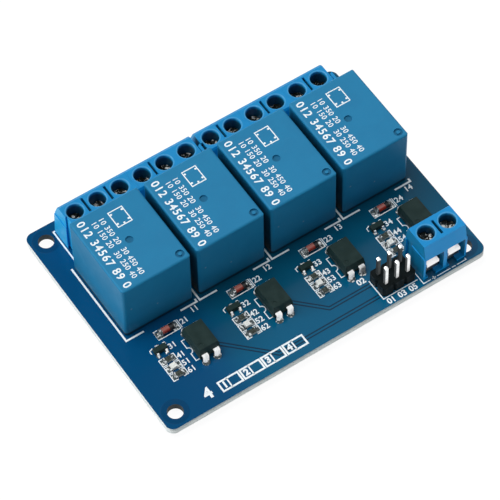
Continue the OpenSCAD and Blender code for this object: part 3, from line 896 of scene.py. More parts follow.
@dataclass(frozen=True)
class Ink(Finish):
    """Screened ink: nearly white, thin at places, slightly matt."""

    thin: str = "A9CBDD"
    roughness: float = 0.5

    def shader(self, at: Surface) -> Sock:
        """Builds the ink with thin patches and a screen's fine texture.

        Args:
            at: The shaded surface.

        Returns:
            The shader's output.
        """
        patch = at.noise(0.7, 3.0, 0.5).rise(0.45, 0.8)
        fine = at.noise(0.07, 1.0)
        share = patch * 0.45 + (fine - 0.5) * 0.2
        return at.skin(
            Base_Color=at.mix(share, self.colour, self.thin),
            Roughness=self.roughness + (fine - 0.5) * 0.2,
            Normal=at.bump(fine + patch, 0.004),
        )


@dataclass(frozen=True)
class CoveredCopper(Finish):
    """Mask over the cut that parts a track from the copper around it."""

    light: str = "0A3A56"

    def shader(self, at: Surface) -> Sock:
        """Builds the covered cut with a soft change of depth.

        Args:
            at: The shaded surface.

        Returns:
            The shader's output.
        """
        cloud = at.noise(3.0, 2.0)
        peel = at.noise(0.8, 2.0)
        return at.skin(
            Base_Color=at.mix(cloud * 0.5, self.colour, self.light),
            Roughness=0.2 + (peel - 0.5) * 0.05,
            IOR=1.42,
            Normal=at.bump(peel, 0.002),
        )


class Part(Enum):
    """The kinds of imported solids, by the start of their nodes' names."""

    BOARD = "board"
    RELAY_CASE = "relay_case"
    RELAY_BASE = "relay_base"
    OUTPUT_PLASTIC = "output_housing"
    POWER_PLASTIC = "power_housing"
    CLAMP_FRAME = "output_clamp_frames power_clamp_frames"
    WIRE_LEAF = "output_wire_leaves power_wire_leaves"
    SCREW = "output_clamp_screws power_clamp_screws"
    HEADER = "header_body"
    MOULDED_BODY = "optocoupler_body transistor_body"
    PIN = "header_pins"
    LEAD = "relay_pins optocoupler_leads transistor_leads"
    CAP = "diode_caps resistor_caps led_caps"
    DIODE = "diode_glass"
    RESISTOR = "resistor_bodies"
    LED = "led_bodies"
    PAD = "solder_pads"
    SOLDER = "solder_fillets"

    def nodes(self) -> list[str]:
        """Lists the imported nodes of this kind."""
        starts = tuple(self.value.split())
        return [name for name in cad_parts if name.startswith(starts)]


# ---- work at the bench ----


def put_all_down() -> None:
    """Leaves edit mode and selects nothing."""
    if bpy.context.object is not None and bpy.context.object.mode != "OBJECT":
        bpy.ops.object.mode_set(mode="OBJECT")
    bpy.ops.object.select_all(action="DESELECT")


def take(*pieces: bpy.types.Object) -> None:
    """Selects pieces alone and makes the first one active.

    Args:
        *pieces: The pieces.
    """
    put_all_down()
    for piece in pieces:
        piece.select_set(True)
    bpy.context.view_layer.objects.active = pieces[0]


def add(operator: Callable[..., object], **settings: object) -> bpy.types.Object:
    """Adds a piece or a light with nothing else selected.

    Args:
        operator: The operator that adds it.
        **settings: What the operator is told.

    Returns:
        What was added.
    """
    put_all_down()
    operator(**settings)
    return bpy.context.object


def open_up() -> None:
    """Enters edit mode with everything selected."""
    bpy.ops.object.mode_set(mode="EDIT")
    bpy.ops.mesh.select_all(action="SELECT")


def settle(piece: bpy.types.Object) -> bpy.types.Object:
    """Moves a piece's place into its mesh and faces its surface outwards.

    Args:
        piece: The piece.

    Returns:
        The same piece.
    """
    take(piece)
    bpy.ops.object.transform_apply(location=True, rotation=True, scale=True)
    open_up()
    bpy.ops.mesh.normals_make_consistent(inside=False)
    put_all_down()
    return piece


def apply_all(piece: bpy.types.Object) -> None:
    """Applies a piece's modifiers in order.

    Args:
        piece: The piece.
    """
    take(piece)
    for modifier in list(piece.modifiers):
        bpy.ops.object.modifier_apply(modifier=modifier.name)


def join(pieces: Sequence[bpy.types.Object], name: str) -> bpy.types.Object:
    """Joins pieces into one.

    Args:
        pieces: The pieces; the first one takes the others in.
        name: The joined piece's name.

    Returns:
        The joined piece, settled.
    """
    take(*pieces)
    if len(pieces) > 1:
        bpy.ops.object.join()
    joined = bpy.context.object
    joined.name = joined.data.name = name
    return settle(joined)


def copy_along(
    piece: bpy.types.Object, name: str, way: Vector
) -> bpy.types.Object:
    """Copies a piece with its own mesh and moves the copy's mesh.

    Args:
        piece: The finished piece.
        name: The copy's name.
        way: How far the copy goes, in millimetres.

    Returns:
        The copy.
    """
    copy = piece.copy()
    copy.data = piece.data.copy()
    copy.name = copy.data.name = name
    copy.data.transform(Matrix.Translation(way * MM))
    bpy.context.scene.collection.objects.link(copy)
    return copy


def finish_piece(
    piece: bpy.types.Object, finish: Finish
) -> None:
    """Gives a new piece its material and its body, and reports it.

    Args:
        piece: The piece.
        finish: Its finish.
    """
    piece.data.materials.clear()
    piece.data.materials.append(finish.material())
    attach(piece, "root")
    LOG.info("%s: %d faces", piece.name, len(piece.data.polygons))


def repeat(
    first: bpy.types.Object, node: str, finish: Finish
) -> None:
    """Copies the first channel's piece to the others and finishes them all.

    Args:
        first: The first channel's piece, whose name ends in its number.
        node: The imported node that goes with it, without its number.
        finish: The pieces' finish.
    """
    stem, start = first.name[:-1], middle(f"{node}_1")
    for channel in range(1, CHANNELS + 1):
        way = middle(f"{node}_{channel}") - start
        piece = first if channel == 1 else copy_along(first, f"{stem}{channel}", way)
        finish_piece(piece, finish)


@dataclass
class Pen:
    """Lays raised strokes and digits on a level surface."""

    level: float
    height: float = 0.03
    digit_share: float = 0.72

    def stroke(
        self, way: Sequence[Point], width: float, closed: bool = False
    ) -> bpy.types.Object:
        """Draws one stroke: a point drawn out along its way, upwards and to its width.

        Args:
            way: The corners that the stroke's middle passes.
            width: The stroke's width.
            closed: Whether it returns to its start.

        Returns:
            The stroke's mesh.
        """
        start = (way[0][0] * MM, way[0][1] * MM, self.level * MM)
        piece = add(bpy.ops.mesh.primitive_plane_add, size=MM, location=start)
        open_up()
        bpy.ops.mesh.select_mode(type="VERT")
        bpy.ops.mesh.merge(type="CENTER")
        stops = list(way) + ([way[0]] if closed else [])
        for before, after in zip(stops, stops[1:]):
            step = ((after[0] - before[0]) * MM, (after[1] - before[1]) * MM, 0)
            bpy.ops.mesh.extrude_vertices_move(TRANSFORM_OT_translate={"value": step})
        bpy.ops.mesh.select_all(action="SELECT")
        bpy.ops.mesh.remove_doubles(threshold=0.001 * MM)
        bpy.ops.mesh.select_all(action="SELECT")
        up = {"value": (0, 0, self.height * MM)}
        bpy.ops.mesh.extrude_edges_move(TRANSFORM_OT_translate=up)
        bpy.ops.mesh.select_all(action="SELECT")
        bpy.ops.mesh.normals_make_consistent(inside=False)
        bpy.ops.object.mode_set(mode="OBJECT")
        wall = piece.modifiers.new("width", "SOLIDIFY")
        wall.thickness = width * MM
        wall.offset = 0.0
        wall.use_even_offset = True
        apply_all(piece)
        return piece

    def figure(
        self,
        text: str,
        centre: Point,
        size: float,
        turn: float = 0.0,
        bold: float = 0.0,
        spacing: float = 1.0,
    ) -> bpy.types.Object:
        """Draws plain digits, which may stand in groups.

        Args:
            text: The digits.
            centre: Where their middle lies.
            size: The height of the digits.
            turn: How far their line is turned, in degrees.
            bold: How much thicker the strokes are.
            spacing: How far the digits stand apart, one being the normal distance.

        Returns:
            The figure's mesh.
        """
        piece = add(bpy.ops.object.text_add, location=(0, 0, 0))
        piece.data.body = text
        piece.data.size = size * MM / self.digit_share
        piece.data.align_x = "CENTER"
        piece.data.align_y = "CENTER"
        piece.data.space_character = spacing
        piece.data.resolution_u = 3
        piece.data.offset = bold * MM
        piece.data.extrude = self.height * MM / 2
        bpy.ops.object.convert(target="MESH")
        piece = bpy.context.object
        place = Vector((*centre, self.level + self.height / 2)) * MM
        turned = Matrix.Rotation(math.radians(turn), 4, "Z")
        piece.data.transform(Matrix.Translation(place) @ turned)
        return piece

    def disc(self, centre: Point, radius: float) -> bpy.types.Object:
        """Draws a filled dot: a rim drawn inwards in one step, then raised.

        Args:
            centre: The dot's middle.
            radius: Its radius.

        Returns:
            The dot's mesh.
        """
        place = (centre[0] * MM, centre[1] * MM, self.level * MM)
        circle = {"vertices": 16, "radius": radius * MM, "fill_type": "NGON"}
        piece = add(bpy.ops.mesh.primitive_circle_add, location=place, **circle)
        open_up()
        up = {"value": (0, 0, self.height * MM)}
        bpy.ops.mesh.extrude_region_move(TRANSFORM_OT_translate=up)
        put_all_down()
        return piece


def arc(centre: Point, radius: float, start: float, sweep: float) -> list[Point]:
    """Lists points along an arc.

    Args:
        centre: The arc's middle.
        radius: Its radius.
        start: The angle of its first point, in degrees.
        sweep: How far it turns, in degrees.

    Returns:
        Nine points.
    """
    steps = 8
    angles = [math.radians(start + sweep * i / steps) for i in range(steps + 1)]
    return [
        (centre[0] + radius * math.cos(a), centre[1] + radius * math.sin(a))
        for a in angles
    ]


def beside(way: Sequence[Point], gap: float) -> list[Point]:
    """Moves a way sideways by a gap, corners kept sharp.

    Args:
        way: The corners of the way.
        gap: How far it moves to its left.

    Returns:
        The corners of the parallel way.
    """
    points = [Vector(p) for p in way]
    runs = [(b - a).normalized() for a, b in zip(points, points[1:])]
    lefts = [Vector((-run.y, run.x)) for run in runs]
    moved = []
    for i, point in enumerate(points):
        before, after = lefts[max(i - 1, 0)], lefts[min(i, len(lefts) - 1)]
        mean = (before + after).normalized()
        moved.append(tuple(point + mean * gap / mean.dot(after)))
    return moved


# ---- sub-assemblies ----


@dataclass
class ChannelLegend:
    """The printed outlines and plain numbers round one channel's parts."""

    pen: Pen
    ink: Ink
    bold: float = 0.38
    fine: float = 0.19
    figure_size: float = 1.25
    relay_gap_left: float = 0.48
    relay_gap_right: float = 0.22
    relay_gap_front: float = 0.82
    relay_gap_rear: float = 0.1
    hook: float = 0.75
    long_run: float = 3.95
    short_run: float = 3.7
    diode_across: tuple[float, float] = (-2.39, 2.55)
    diode_along: tuple[float, float] = (-0.9, 1.15)
    diode_bar_gap: float = 0.32
    chip_length: float = 2.0
    chip_width: float = 1.25
    chip_gap: float = 0.62
    chip_figure_gap: float = 1.65
    bracket_half: float = 0.8
    bracket_arm: float = 1.0
    bracket_bar_in: float = 0.5
    bracket_bar_fine: float = 0.8
    notch_gap: float = 0.38
    notch_up: float = 0.1
    notch_radius: float = 0.72

    def relay_outline(self) -> list[bpy.types.Object]:
        """Draws the relay's outline: full at the left, short at the right.

        Returns:
            The strokes.
        """
        low, high = corners("relay_case_1")
        left, right = low.x - self.relay_gap_left, high.x + self.relay_gap_right
        front = low.y - self.relay_gap_front
        rear, hooked = high.y - self.relay_gap_rear, front + self.hook
        ways = [
            [(left, rear), (left, front), (left + self.long_run, front)],
            [(right - self.short_run, front), (right, front), (right, hooked)],
        ]
        return [self.pen.stroke(way, self.bold) for way in ways]

    def diode_outline(self) -> list[bpy.types.Object]:
        """Draws the rectangle round the diode and its pads.

        Returns:
            The strokes.
        """
        centre = middle("diode_glass_1")
        left, right = (centre.x + gap for gap in self.diode_across)
        front, rear = (centre.y + gap for gap in self.diode_along)
        way = [(left, rear), (left, front), (right, front), (right, rear)]
        across = right + self.diode_bar_gap
        bar = [(across, front), (across, rear)]
        return [self.pen.stroke(way, self.fine, True), self.pen.stroke(bar, self.fine)]

    def transistor_outline(self) -> list[bpy.types.Object]:
        """Draws the two corner marks beside the transistor.

        Returns:
            The strokes.
        """
        low, high = corners("transistor_body_1")
        left = low.x - 0.35
        rear = high.y + 0.45
        way = [(left + 0.75, rear + 0.1), (left, rear - 0.2), (left, low.y + 0.75)]
        right = high.x + 0.2
        other = [(right, rear - 0.45), (right, rear + 0.1), (right - 0.4, rear + 0.1)]
        return [self.pen.stroke(way, self.fine), self.pen.stroke(other, self.fine)]

    def chip_outlines(self) -> list[bpy.types.Object]:
        """Draws a pair of brackets round each chip of the column.

        Returns:
            The strokes.
        """
        low, high = corners("resistor_caps")
        left, right = low.x - self.chip_gap, low.x + self.chip_length + self.chip_gap
        half = self.chip_width / 2
        rows = [high.y - half, (low.y + high.y) / 2, low.y + half]
        pieces = []
        for row in rows:
            rear, front = row + self.bracket_half, row - self.bracket_half
            for side, arm in ((left, self.bracket_arm), (right, -self.bracket_arm)):
                inner = side + arm
                way = [(inner, rear), (side, rear), (side, front), (inner, front)]
                pieces.append(self.pen.stroke(way, self.fine))
            inner = left + self.bracket_bar_in
            bar, width = [(inner, rear), (inner, front)], self.fine * self.bracket_bar_fine
            pieces.append(self.pen.stroke(bar, width))
        return pieces

    def optocoupler_outline(self) -> list[bpy.types.Object]:
        """Draws the side line with its round notch and two hooks.

        Returns:
            The stroke, alone in its list.
        """
        low, high = corners("optocoupler_body_1")
        left = low.x - self.notch_gap
        rear, front = high.y - 0.5, low.y + 0.8
        centre = (left, (low.y + high.y) / 2 + self.notch_up)
        notch = arc(centre, self.notch_radius, 90, -180)
        start, end = (left + 0.75, rear), (left + 0.8, front)
        way = [start, (left, rear), *notch, (left, front), end]
        return [self.pen.stroke(way, self.fine)]

    def figures(self, channel: int, shift: float) -> list[bpy.types.Object]:
        """Draws the plain part numbers of a channel.

        Args:
            channel: The channel's number, from one.
            shift: How far it lies from the first channel.

        Returns:
            The figures.
        """
        relay, chip = middle("relay_case_1"), corners("resistor_caps")
        diode, body = middle("diode_glass_1"), middle("transistor_body_1")
        right = chip[0].x + self.chip_length + self.chip_figure_gap
        rows = [chip[1].y - 0.95, (chip[0].y + chip[1].y) / 2 - 0.3, chip[0].y + 0.3]
        spots = [
            (relay.x + 6.6, corners("relay_case_1")[0].y - 1.95),
            (diode.x + 4.0, diode.y + 0.2),
            (body.x + 2.55, body.y - 0.3),
            *[(right, row) for row in rows],
        ]
        return [
            self.pen.figure(
                f"{series}{channel}", (x + shift, y), self.figure_size, 0, 0.035
            )
            for series, (x, y) in enumerate(spots, 1)
        ]

    def build(self) -> None:
        """Draws the first channel's outlines, copies them and numbers the channels."""
        outline = join(
            self.relay_outline()
            + self.diode_outline()
            + self.transistor_outline()
            + self.chip_outlines()
            + self.optocoupler_outline(),
            "legend_outlines_1",
        )
        repeat(outline, "relay_case", self.ink)
        for channel in range(1, CHANNELS + 1):
            way = middle(f"relay_case_{channel}") - middle("relay_case_1")
            numbers = join(self.figures(channel, way.x), f"legend_numbers_{channel}")
            finish_piece(numbers, self.ink)


@dataclass
class BoardLegend:
    """The printed outlines round the terminals and the header, and the front strip."""

    pen: Pen
    ink: Ink
    bold: float = 0.32
    fine: float = 0.209
    hook: float = 0.5
    strip_height: float = 2.2
    strip_from: float = -23.6
    strip_to: float = -4.0
    strip_y: float = -23.55
    count_at: Point = (-26.1, -23.4)
    count_size: float = 2.45
    pin_figure_size: float = 1.3
    cell_gap: float = 0.5
    cell_line: float = 0.38
    cell_figure_in: float = 1.0
    cell_figure_size: float = 1.4
    cell_divide_in: float = 1.95
    cell_divide_line: float = 0.3
    sign_arm: float = 0.45
    sign_clear: float = 0.75

    def terminal_outline(self) -> list[bpy.types.Object]:
        """Draws the line round the ends of the output row.

        Returns:
            The strokes.
        """
        low, high = corners("output_housing_1")
        _, far = corners("output_housing_5")
        left, right, rear = low.x - 0.4, far.x + 0.4, high.y - 0.05
        front = low.y + 0.2
        ends = ((left, left + self.hook), (right, right - self.hook))
        return [
            self.pen.stroke([(side, front), (side, rear), (inner, rear)], self.bold)
            for side, inner in ends
        ]

    def header_outline(self) -> list[bpy.types.Object]:
        """Draws the header's outline and its plain pin numbers.

        Returns:
            The stroke and the numbers.
        """
        low, high = corners("header_body")
        left, right, front = low.x - 0.25, high.x + 0.1, low.y - 0.3
        way = [(left, high.y - 0.4), (left, front), (right, front)]
        pieces = [self.pen.stroke(way, self.fine)]
        step = (high.x - low.x) / 3
        for place, digits in enumerate(("01", "03", "05")):
            spot = (low.x + step * (place + 0.5) - 0.35, front - 1.02)
            pieces.append(self.pen.figure(digits, spot, self.pin_figure_size, 0, 0.05))
        spot = (left - 1.3, high.y + 0.3)
        pieces.append(self.pen.figure("02", spot, self.pin_figure_size, 0, 0.05))
        return pieces

    def power_outline(self) -> list[bpy.types.Object]:
        """Draws the power terminal's outline and its two polarity signs.

        Returns:
            The strokes.
        """
        low, high = corners("power_housing")
        left, right, front = low.x - 0.35, high.x - 0.45, low.y - 0.55
        plus, minus = middle("power_clamp_screws").x - 2.95, right - 2.9
        arm, clear = self.sign_arm, self.sign_clear
        ways = [
            [(left, high.y), (left, front), (plus - clear, front)],
            [(plus + clear, front), (minus - clear, front)],
            [(minus + clear, front), (right, front), (right, front + 0.45)],
            [(plus - arm, front), (plus + arm, front)],
            [(plus, front - arm * 0.9), (plus, front + arm)],
            [(minus - arm, front), (minus + arm, front)],
        ]
        return [self.pen.stroke(way, self.fine) for way in ways]

    def front_strip(self) -> list[bpy.types.Object]:
        """Draws the number of channels and a strip with a numbered field for each.

        Returns:
            The strokes and the numbers.
        """
        half = self.strip_height / 2
        count = self.pen.figure(str(CHANNELS), self.count_at, self.count_size, 0, 0.12)
        pieces = [count]
        cell = (self.strip_to - self.strip_from) / CHANNELS
        for place in range(CHANNELS):
            left = self.strip_from + cell * place + self.cell_gap / 2
            right = left + cell - self.cell_gap
            rear, front = self.strip_y + half, self.strip_y - half
            way = [(left, front), (right, front), (right, rear), (left, rear)]
            pieces.append(self.pen.stroke(way, self.cell_line, True))
            digit = (left + self.cell_figure_in, self.strip_y)
            number = self.pen.figure(str(place + 1), digit, self.cell_figure_size, 0, 0.1)
            divide = left + self.cell_divide_in
            bar = [(divide, front), (divide, rear)]
            pieces += [number, self.pen.stroke(bar, self.cell_divide_line)]
        return pieces

    def build(self) -> None:
        """Draws the board's other print."""
        for name, strokes in {
            "legend_terminals": self.terminal_outline(),
            "legend_header": self.header_outline(),
            "legend_power": self.power_outline(),
            "legend_strip": self.front_strip(),
        }.items():
            finish_piece(join(strokes, name), self.ink)


@dataclass
class Tracks:
    """The cuts beside the signal tracks that show through the mask."""

    pen: Pen
    mask: CoveredCopper
    half: float = 0.34
    cut: float = 0.28
    start_out: float = 0.4
    start_up: float = 2.9
    ends_down: tuple[float, float] = (0.25, 0.35)

    def ways(self) -> list[list[Point]]:
        """Lists the middle lines of the tracks, from the optocouplers to the header.

        Returns:
            The corners of each line.
        """
        pins = corners("header_pins")
        end = pins[0].x
        rows = [pin.y - down for pin, down in zip(pins, self.ends_down)]
        ways = []
        for number, row in zip((1, 2), rows):
            lead = corners(f"optocoupler_leads_{number}")
            start = Vector((lead[1].x + self.start_out, lead[0].y + self.start_up))
            bend = start.x + (start.y - row)
            ways.append([tuple(start), (bend, row), (end, row)])
        return ways

    def build(self) -> None:
        """Draws both cuts of each track."""
        cuts = [
            self.pen.stroke(beside(way, side * self.half), self.cut)
            for way in self.ways()
            for side in (-1, 1)
        ]
        finish_piece(join(cuts, "track_cuts"), self.mask)


@dataclass
class RelayPrint:
    """Three lines of plain numbers and a small pin plan, printed on each relay's top."""

    pen: Pen
    ink: Ink
    line: float = 0.22
    dot: float = 0.22
    plan_at: Point = (-5.4, 1.3)
    plan_scale: float = 0.2
    pins_across: float = 6.0
    pins_rear: float = -6.35
    pins_coil: float = 5.9
    pin_common: float = 7.85

    def at(self, along: float, up: float) -> Point:
        """Turns a place in the print into one on the relay's top.

        Args:
            along: Distance from the middle in the print's own reading direction.
            up: Distance from the middle towards the print's upper side.

        Returns:
            The place on the first relay.
        """
        centre = middle("relay_case_1")
        return centre.x + up, centre.y - along

    def figures(self) -> list[bpy.types.Object]:
        """Draws the lines of plain numbers, read from the rear to the front.

        Returns:
            The figures.
        """
        lines = [
            ("012 34567 89 0", (0.2, -5.9), 1.7, 0.045, 1.17),
            ("10 150 20", (-3.7, -3.7), 1.15, 0.015, 1.08),
            ("30 250 40", (4.4, -3.7), 1.15, 0.015, 1.08),
            ("10 350 20", (-3.7, -2.1), 1.15, 0.015, 1.08),
            ("30 450 40", (4.4, -2.1), 1.15, 0.015, 1.08),
        ]
        return [
            self.pen.figure(text, self.at(*spot), size, -90, bold, spacing)
            for text, spot, size, bold, spacing in lines
        ]

    def pin_plan(self) -> list[bpy.types.Object]:
        """Draws the relay's outline in small, with a dot for each of its pins.

        Returns:
            The stroke and the dots.
        """
        centre, scale = self.plan_at, self.plan_scale
        low, high = corners("relay_case_1")
        half_up, half_along = (high.x - low.x) / 2 * scale, (high.y - low.y) / 2 * scale
        box = [
            self.at(centre[0] + a * half_along, centre[1] + b * half_up)
            for a, b in ((-1, -1), (1, -1), (1, 1), (-1, 1))
        ]
        pins = [(self.pin_common, 0.0)]
        for along in (self.pins_rear, self.pins_coil):
            pins += [(along, side * self.pins_across) for side in (-1, 1)]
        dots = [
            self.pen.disc(
                self.at(centre[0] + along * scale, centre[1] + up * scale), self.dot
            )
            for along, up in pins
        ]
        return [self.pen.stroke(box, self.line, True), *dots]

    def build(self) -> None:
        """Draws the first relay's print and copies it to the others."""
        first = join(self.pin_plan() + self.figures(), "relay_print_1")
        repeat(first, "relay_case", self.ink)


@dataclass
class DiodeCore:
    """The slugs and the pellet that show through a diode's glass."""

    metal: Metal
    radius: float = 0.42
    gap: float = 0.3
    neck: float = 0.45
    end_gap: float = 0.1

    def build(self) -> None:
        """Turns the first diode's core from a rod and copies it."""
        low, high = corners("diode_glass_1")
        centre = middle("diode_glass_1")
        rod = add(
            bpy.ops.mesh.primitive_cylinder_add,
            vertices=20,
            radius=self.radius * MM,
            depth=(high.x - low.x - self.end_gap) * MM,
            location=centre * MM,
            rotation=(0, math.pi / 2, 0),
        )
        bpy.ops.object.transform_apply(location=True, rotation=True, scale=True)
        bpy.ops.object.mode_set(mode="EDIT")
        for side in (-1, 1):
            bpy.ops.mesh.select_all(action="SELECT")
            bpy.ops.mesh.bisect(
                plane_co=((centre.x + side * self.gap) * MM, 0, 0), plane_no=(1, 0, 0)
            )
        bpy.ops.mesh.select_mode(type="FACE")
        bpy.ops.mesh.select_all(action="DESELECT")
        bpy.ops.object.mode_set(mode="OBJECT")
        for face in rod.data.polygons:
            inside = abs(face.center.x / MM - centre.x) < self.gap * 0.9
            face.select = inside and abs(face.normal.x) < 0.5
        bpy.ops.object.mode_set(mode="EDIT")
        bpy.ops.transform.resize(
            value=(1, self.neck, self.neck), center_override=tuple(centre * MM)
        )
        bpy.ops.object.mode_set(mode="OBJECT")
        core = join([rod], "diode_core_1")
        repeat(core, "diode_glass", self.metal)


@dataclass
class Studio:
    """White floor, soft light from above and from the left, and the camera."""

    azimuth: float = -32.239
    elevation: float = 56.304
    roll: float = -1.61
    distance: float = 592.6
    target: tuple[float, float, float] = (-2.796, -2.673, 5.0)
    lens: float = 221.49
    sensor: float = 36.0
    clip: tuple[float, float] = (0.01, 20.0)
    floor_level: float = -1.8
    floor_size: float = 6.0
    floor_plain: float = 0.8
    floor_faint: float = 0.1
    floor_glow: float = 0.945
    ambient: float = 0.33
    key_level: float = 0.55
    key_from: tuple[float, float, float] = (-0.2, 0.2, 0.96)
    key_spread: float = 36.0
    side_level: float = 0.12
    side_from: tuple[float, float, float] = (-0.87, 0.36, 0.34)
    side_spread: float = 24.0
    card_from: tuple[float, float, float] = (0.296, 0.469, 0.832)
    card_distance: float = 520.0
    card_size: float = 760.0
    card_dark: str = "0A0A0A"
    card_pale: str = "B0B0B0"
    card_turns: tuple[float, float] = (95.0, 150.0)

    def backdrop(self) -> None:
        """Makes the world white to the eye and dimmer as a light."""
        graph = Graph(bpy.data.worlds.new("studio"))
        share = graph.seen()
        dim, white = [
            graph.node("ShaderNodeBackground", None, {0: (1, 1, 1, 1), 1: strength})
            for strength in (self.ambient, 1.0)
        ]
        graph.close(graph.node("ShaderNodeMixShader", None, {0: share, 1: dim, 2: white}))
        bpy.context.scene.world = graph.owner

    def floor(self) -> None:
        """Lays a white floor that keeps the object's shadow."""
        place, size = (0, 0, self.floor_level * MM), self.floor_size
        floor = add(bpy.ops.mesh.primitive_plane_add, size=size, location=place)
        floor.name = "floor"
        graph = Graph(bpy.data.materials.new("floor_white"))
        share = graph.seen()
        plain, faint = [
            graph.node("ShaderNodeBsdfDiffuse", None, {"Color": (grey, grey, grey, 1)})
            for grey in (self.floor_plain, self.floor_faint)
        ]
        glow = graph.node("ShaderNodeEmission", None, {"Strength": self.floor_glow})
        bright = graph.node("ShaderNodeAddShader", None, {0: faint, 1: glow})
        mixed = graph.node("ShaderNodeMixShader", None, {0: share, 1: plain, 2: bright})
        graph.close(mixed)
        floor.data.materials.append(graph.owner)

    def light(self, level: float, source: Sequence[float], spread: float) -> None:
        """Hangs one broad soft light.

        Args:
            level: How brightly it lights a level surface, white being one.
            source: The direction that it comes from.
            spread: Its width in degrees.
        """
        way = Vector(source).normalized()
        lamp = add(bpy.ops.object.light_add, type="SUN", location=way)
        lamp.rotation_euler = way.to_track_quat("Z", "Y").to_euler()
        lamp.data.energy = math.pi * level / way.z
        lamp.data.angle = math.radians(spread)

    def card(self) -> None:
        """Hangs a grey card that only mirrors show: dark at the left, pale at the right."""
        way = Vector(self.card_from).normalized()
        card = add(
            bpy.ops.mesh.primitive_plane_add,
            size=self.card_size * MM,
            location=way * self.card_distance * MM,
            rotation=way.to_track_quat("Z", "Y").to_euler(),
        )
        card.name = "grey_card"
        bpy.ops.object.transform_apply(location=True, rotation=True, scale=True)
        at = Surface("card_grey")
        tone = at.mix(at.x.rise(*self.card_turns), self.card_dark, self.card_pale)
        at.close(at.node("ShaderNodeEmission", None, {"Color": tone, "Strength": 1.0}))
        card.data.materials.append(at.owner)
        for ray in ("camera", "diffuse", "shadow", "transmission", "volume_scatter"):
            setattr(card, f"visible_{ray}", False)

    def camera(self) -> None:
        """Sets the camera at its viewing angle."""
        turn, rise = math.radians(self.azimuth), math.radians(self.elevation)
        back = Vector(
            (
                math.sin(turn) * math.cos(rise),
                -math.cos(turn) * math.cos(rise),
                math.sin(rise),
            )
        )
        right = (-back).cross(Vector((0, 0, 1))).normalized()
        up = right.cross(-back)
        roll = math.radians(self.roll)
        across = right * math.cos(roll) + up * math.sin(roll)
        above = up * math.cos(roll) - right * math.sin(roll)
        data = bpy.data.cameras.new("camera")
        data.lens = self.lens
        data.sensor_width = self.sensor
        data.clip_start, data.clip_end = self.clip
        camera = bpy.data.objects.new("camera", data)
        pose = Matrix((across, above, back)).transposed().to_4x4()
        pose.translation = (Vector(self.target) + back * self.distance) * MM
        camera.matrix_world = pose
        bpy.context.scene.collection.objects.link(camera)
        bpy.context.scene.camera = camera

    def build(self) -> None:
        """Makes the backdrop, floor, lights, card and camera."""
        self.backdrop()
        self.floor()
        self.light(self.key_level, self.key_from, self.key_spread)
        self.light(self.side_level, self.side_from, self.side_spread)
        self.card()
        self.camera()
        bpy.context.scene.view_settings.view_transform = "Standard"


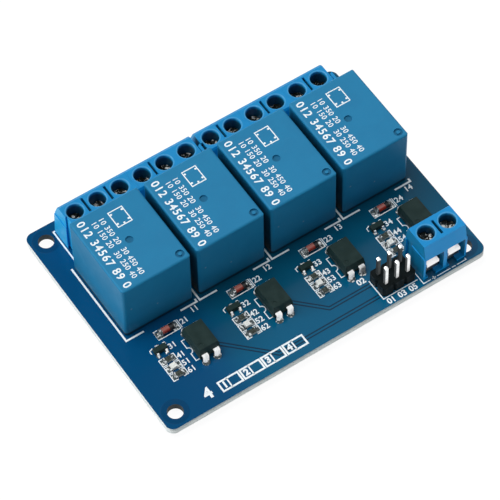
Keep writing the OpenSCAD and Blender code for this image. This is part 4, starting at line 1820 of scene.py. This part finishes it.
@dataclass
class Wardrobe:
    """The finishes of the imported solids."""

    row_middle: float
    pitch: float

    def finishes(self) -> dict[Part, Finish]:
        """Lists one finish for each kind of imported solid.

        Returns:
            The finishes by kind.
        """
        diode = middle("diode_glass_1").x - (self.row_middle - 1.5 * self.pitch)
        relay_foot, relay_top = (corner.z for corner in corners("relay_case_1"))
        return {
            Part.BOARD: SolderMask("board_mask_looks", "004976"),
            Part.RELAY_CASE: RelayPlastic(
                "relay_case_looks", "1B7DAB", "1876A4", film=0.028, refraction=1.2,
                top=relay_top, foot=relay_foot, row_middle=self.row_middle,
                pitch=self.pitch,
            ),
            Part.RELAY_BASE: MouldedPlastic(
                "relay_base_looks", "185A82", "124A6E", roughness=0.5,
            ),
            # The last colour is the left end's: painted light for the output row, painted
            # shade for the power block.
            Part.OUTPUT_PLASTIC: self.terminal("output", "0A8AC8", "0682BC", "1FA8E4"),
            Part.POWER_PLASTIC: self.terminal("power", "0A8ACC", "0682C0", "0A77A7"),
            Part.CLAMP_FRAME: Metal(
                "clamp_frame_looks", "8E9497", "5E6467", roughness=0.35,
            ),
            Part.WIRE_LEAF: Metal(
                "wire_leaf_looks", "F4F4F4", "DDE0E4", roughness=0.35, slope=0.45,
                fall=0.68,
            ),
            # Painted glints: a dark screw with bright patches that stand in for highlights.
            Part.SCREW: Metal(
                "screw_looks", "1B221F", "F6F8F2", roughness=0.3, lines=(9.0, 3.0, 9.0),
                metallic=0.6, patch=0.7, worn=(0.55, 0.62, 0.95),
            ),
            Part.PIN: PinMetal(
                "pin_looks", "FAFBFB", "D3D7D8", roughness=0.32, slope=0.6,
                rear=middle("header_pins").y, top=corners("header_pins")[1].z,
            ),
            Part.HEADER: MouldedPlastic(
                "header_plastic_looks", "060F11", "0B1618", film=0.004, refraction=1.2,
                grain=0.07, scuffs=0.2,
            ),
            Part.MOULDED_BODY: MouldCompound("mould_compound_looks", "142A28", "223836"),
            Part.LEAD: Metal(
                "lead_looks", "FAFBFB", "C3C8CA", roughness=0.32, metallic=0.8, slope=0.6,
                fall=0.6,
            ),
            # Painted glints: dark caps with bright patches that stand in for highlights.
            Part.CAP: Metal(
                "cap_looks", "4A5254", "F4F8F8", roughness=0.34, metallic=0.7, patch=0.6,
                worn=(0.5, 0.57, 0.9),
            ),
            Part.DIODE: DiodeGlass(
                "diode_glass_looks", "C2402E", band_from=diode + 0.38,
                band_to=diode + 1.4, row_middle=self.row_middle, pitch=self.pitch,
            ),
            Part.RESISTOR: ChipCeramic("resistor_looks", "20281F"),
            Part.LED: ClearResin("led_looks", "FBFDFA", "EEF2EA"),
            Part.PAD: Solder("pad_looks", "4A5557", "262F31", glints=0.8, fall=0.3),
            Part.SOLDER: Solder("solder_looks", "6B7476", glints=0.9, fall=0.5),
        }

    @staticmethod
    def terminal(row: str, colour: str, shade: str, painted_left_end: str) -> TerminalPlastic:
        """Makes the plastic of one row of screw terminals.

        Args:
            row: The start of the row's node names.
            colour: The plastic's main colour.
            shade: Its colour in the flow clouds.
            painted_left_end: Its colour on the left end: lighter for painted light, darker
                for painted shade.

        Returns:
            The finish, fitted to the row's screws.
        """
        low, high = corners(f"{row}_clamp_screws")
        part = Part.OUTPUT_PLASTIC if row == "output" else Part.POWER_PLASTIC
        ends = [corners(name) for name in part.nodes()]
        left, right = min(e[0].x for e in ends), max(e[1].x for e in ends)
        radius = (high.y - low.y) / 2
        spot = ((left + right) / 2, (low.y + high.y) / 2, ends[0][1].z)
        return TerminalPlastic(
            f"{row}_plastic_looks",
            colour,
            shade,
            cloud_size=3.0,
            film=0.02,
            dust="7FC4E4",
            left=painted_left_end,
            hollow="03202F",
            inner=spot,
            reach=(right - left) / 2 - 0.75,
            ways=(low.x + radius, high.x - radius),
        )

    def dress(self) -> None:
        """Puts each finish on its solids."""
        for part, finish in self.finishes().items():
            material = finish.material()
            for name in part.nodes():
                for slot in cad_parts[name].material_slots:
                    slot.material = material
                LOG.info("%s: %s", name, material.name)


def main() -> None:
    """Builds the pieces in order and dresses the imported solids."""
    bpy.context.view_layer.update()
    board_top = corners("board")[1].z
    relay_top = corners("relay_case_1")[1].z
    first, last = middle("relay_case_1").x, middle(f"relay_case_{CHANNELS}").x
    pitch = (last - first) / (CHANNELS - 1)
    ink = Ink("legend_ink", "F3FAFD", "C6DDE8")
    Wardrobe((first + last) / 2, pitch).dress()
    on_board, on_relay = Pen(board_top), Pen(relay_top - RELAY_PRINT_SUNK)
    cover = CoveredCopper("track_cut_looks", "032A42")
    Tracks(Pen(board_top, TRACK_CUT_HEIGHT), cover).build()
    ChannelLegend(on_board, ink).build()
    BoardLegend(on_board, ink).build()
    RelayPrint(on_relay, Ink("relay_ink", "F3FAFD", "C6E0EC")).build()
    DiodeCore(Metal("diode_core_looks", "B5693F", "6E2C1B", roughness=0.3)).build()
    Studio().build()


if __name__ == "__main__":
    logging.basicConfig(level=logging.INFO, format="%(name)s %(message)s")
    main()
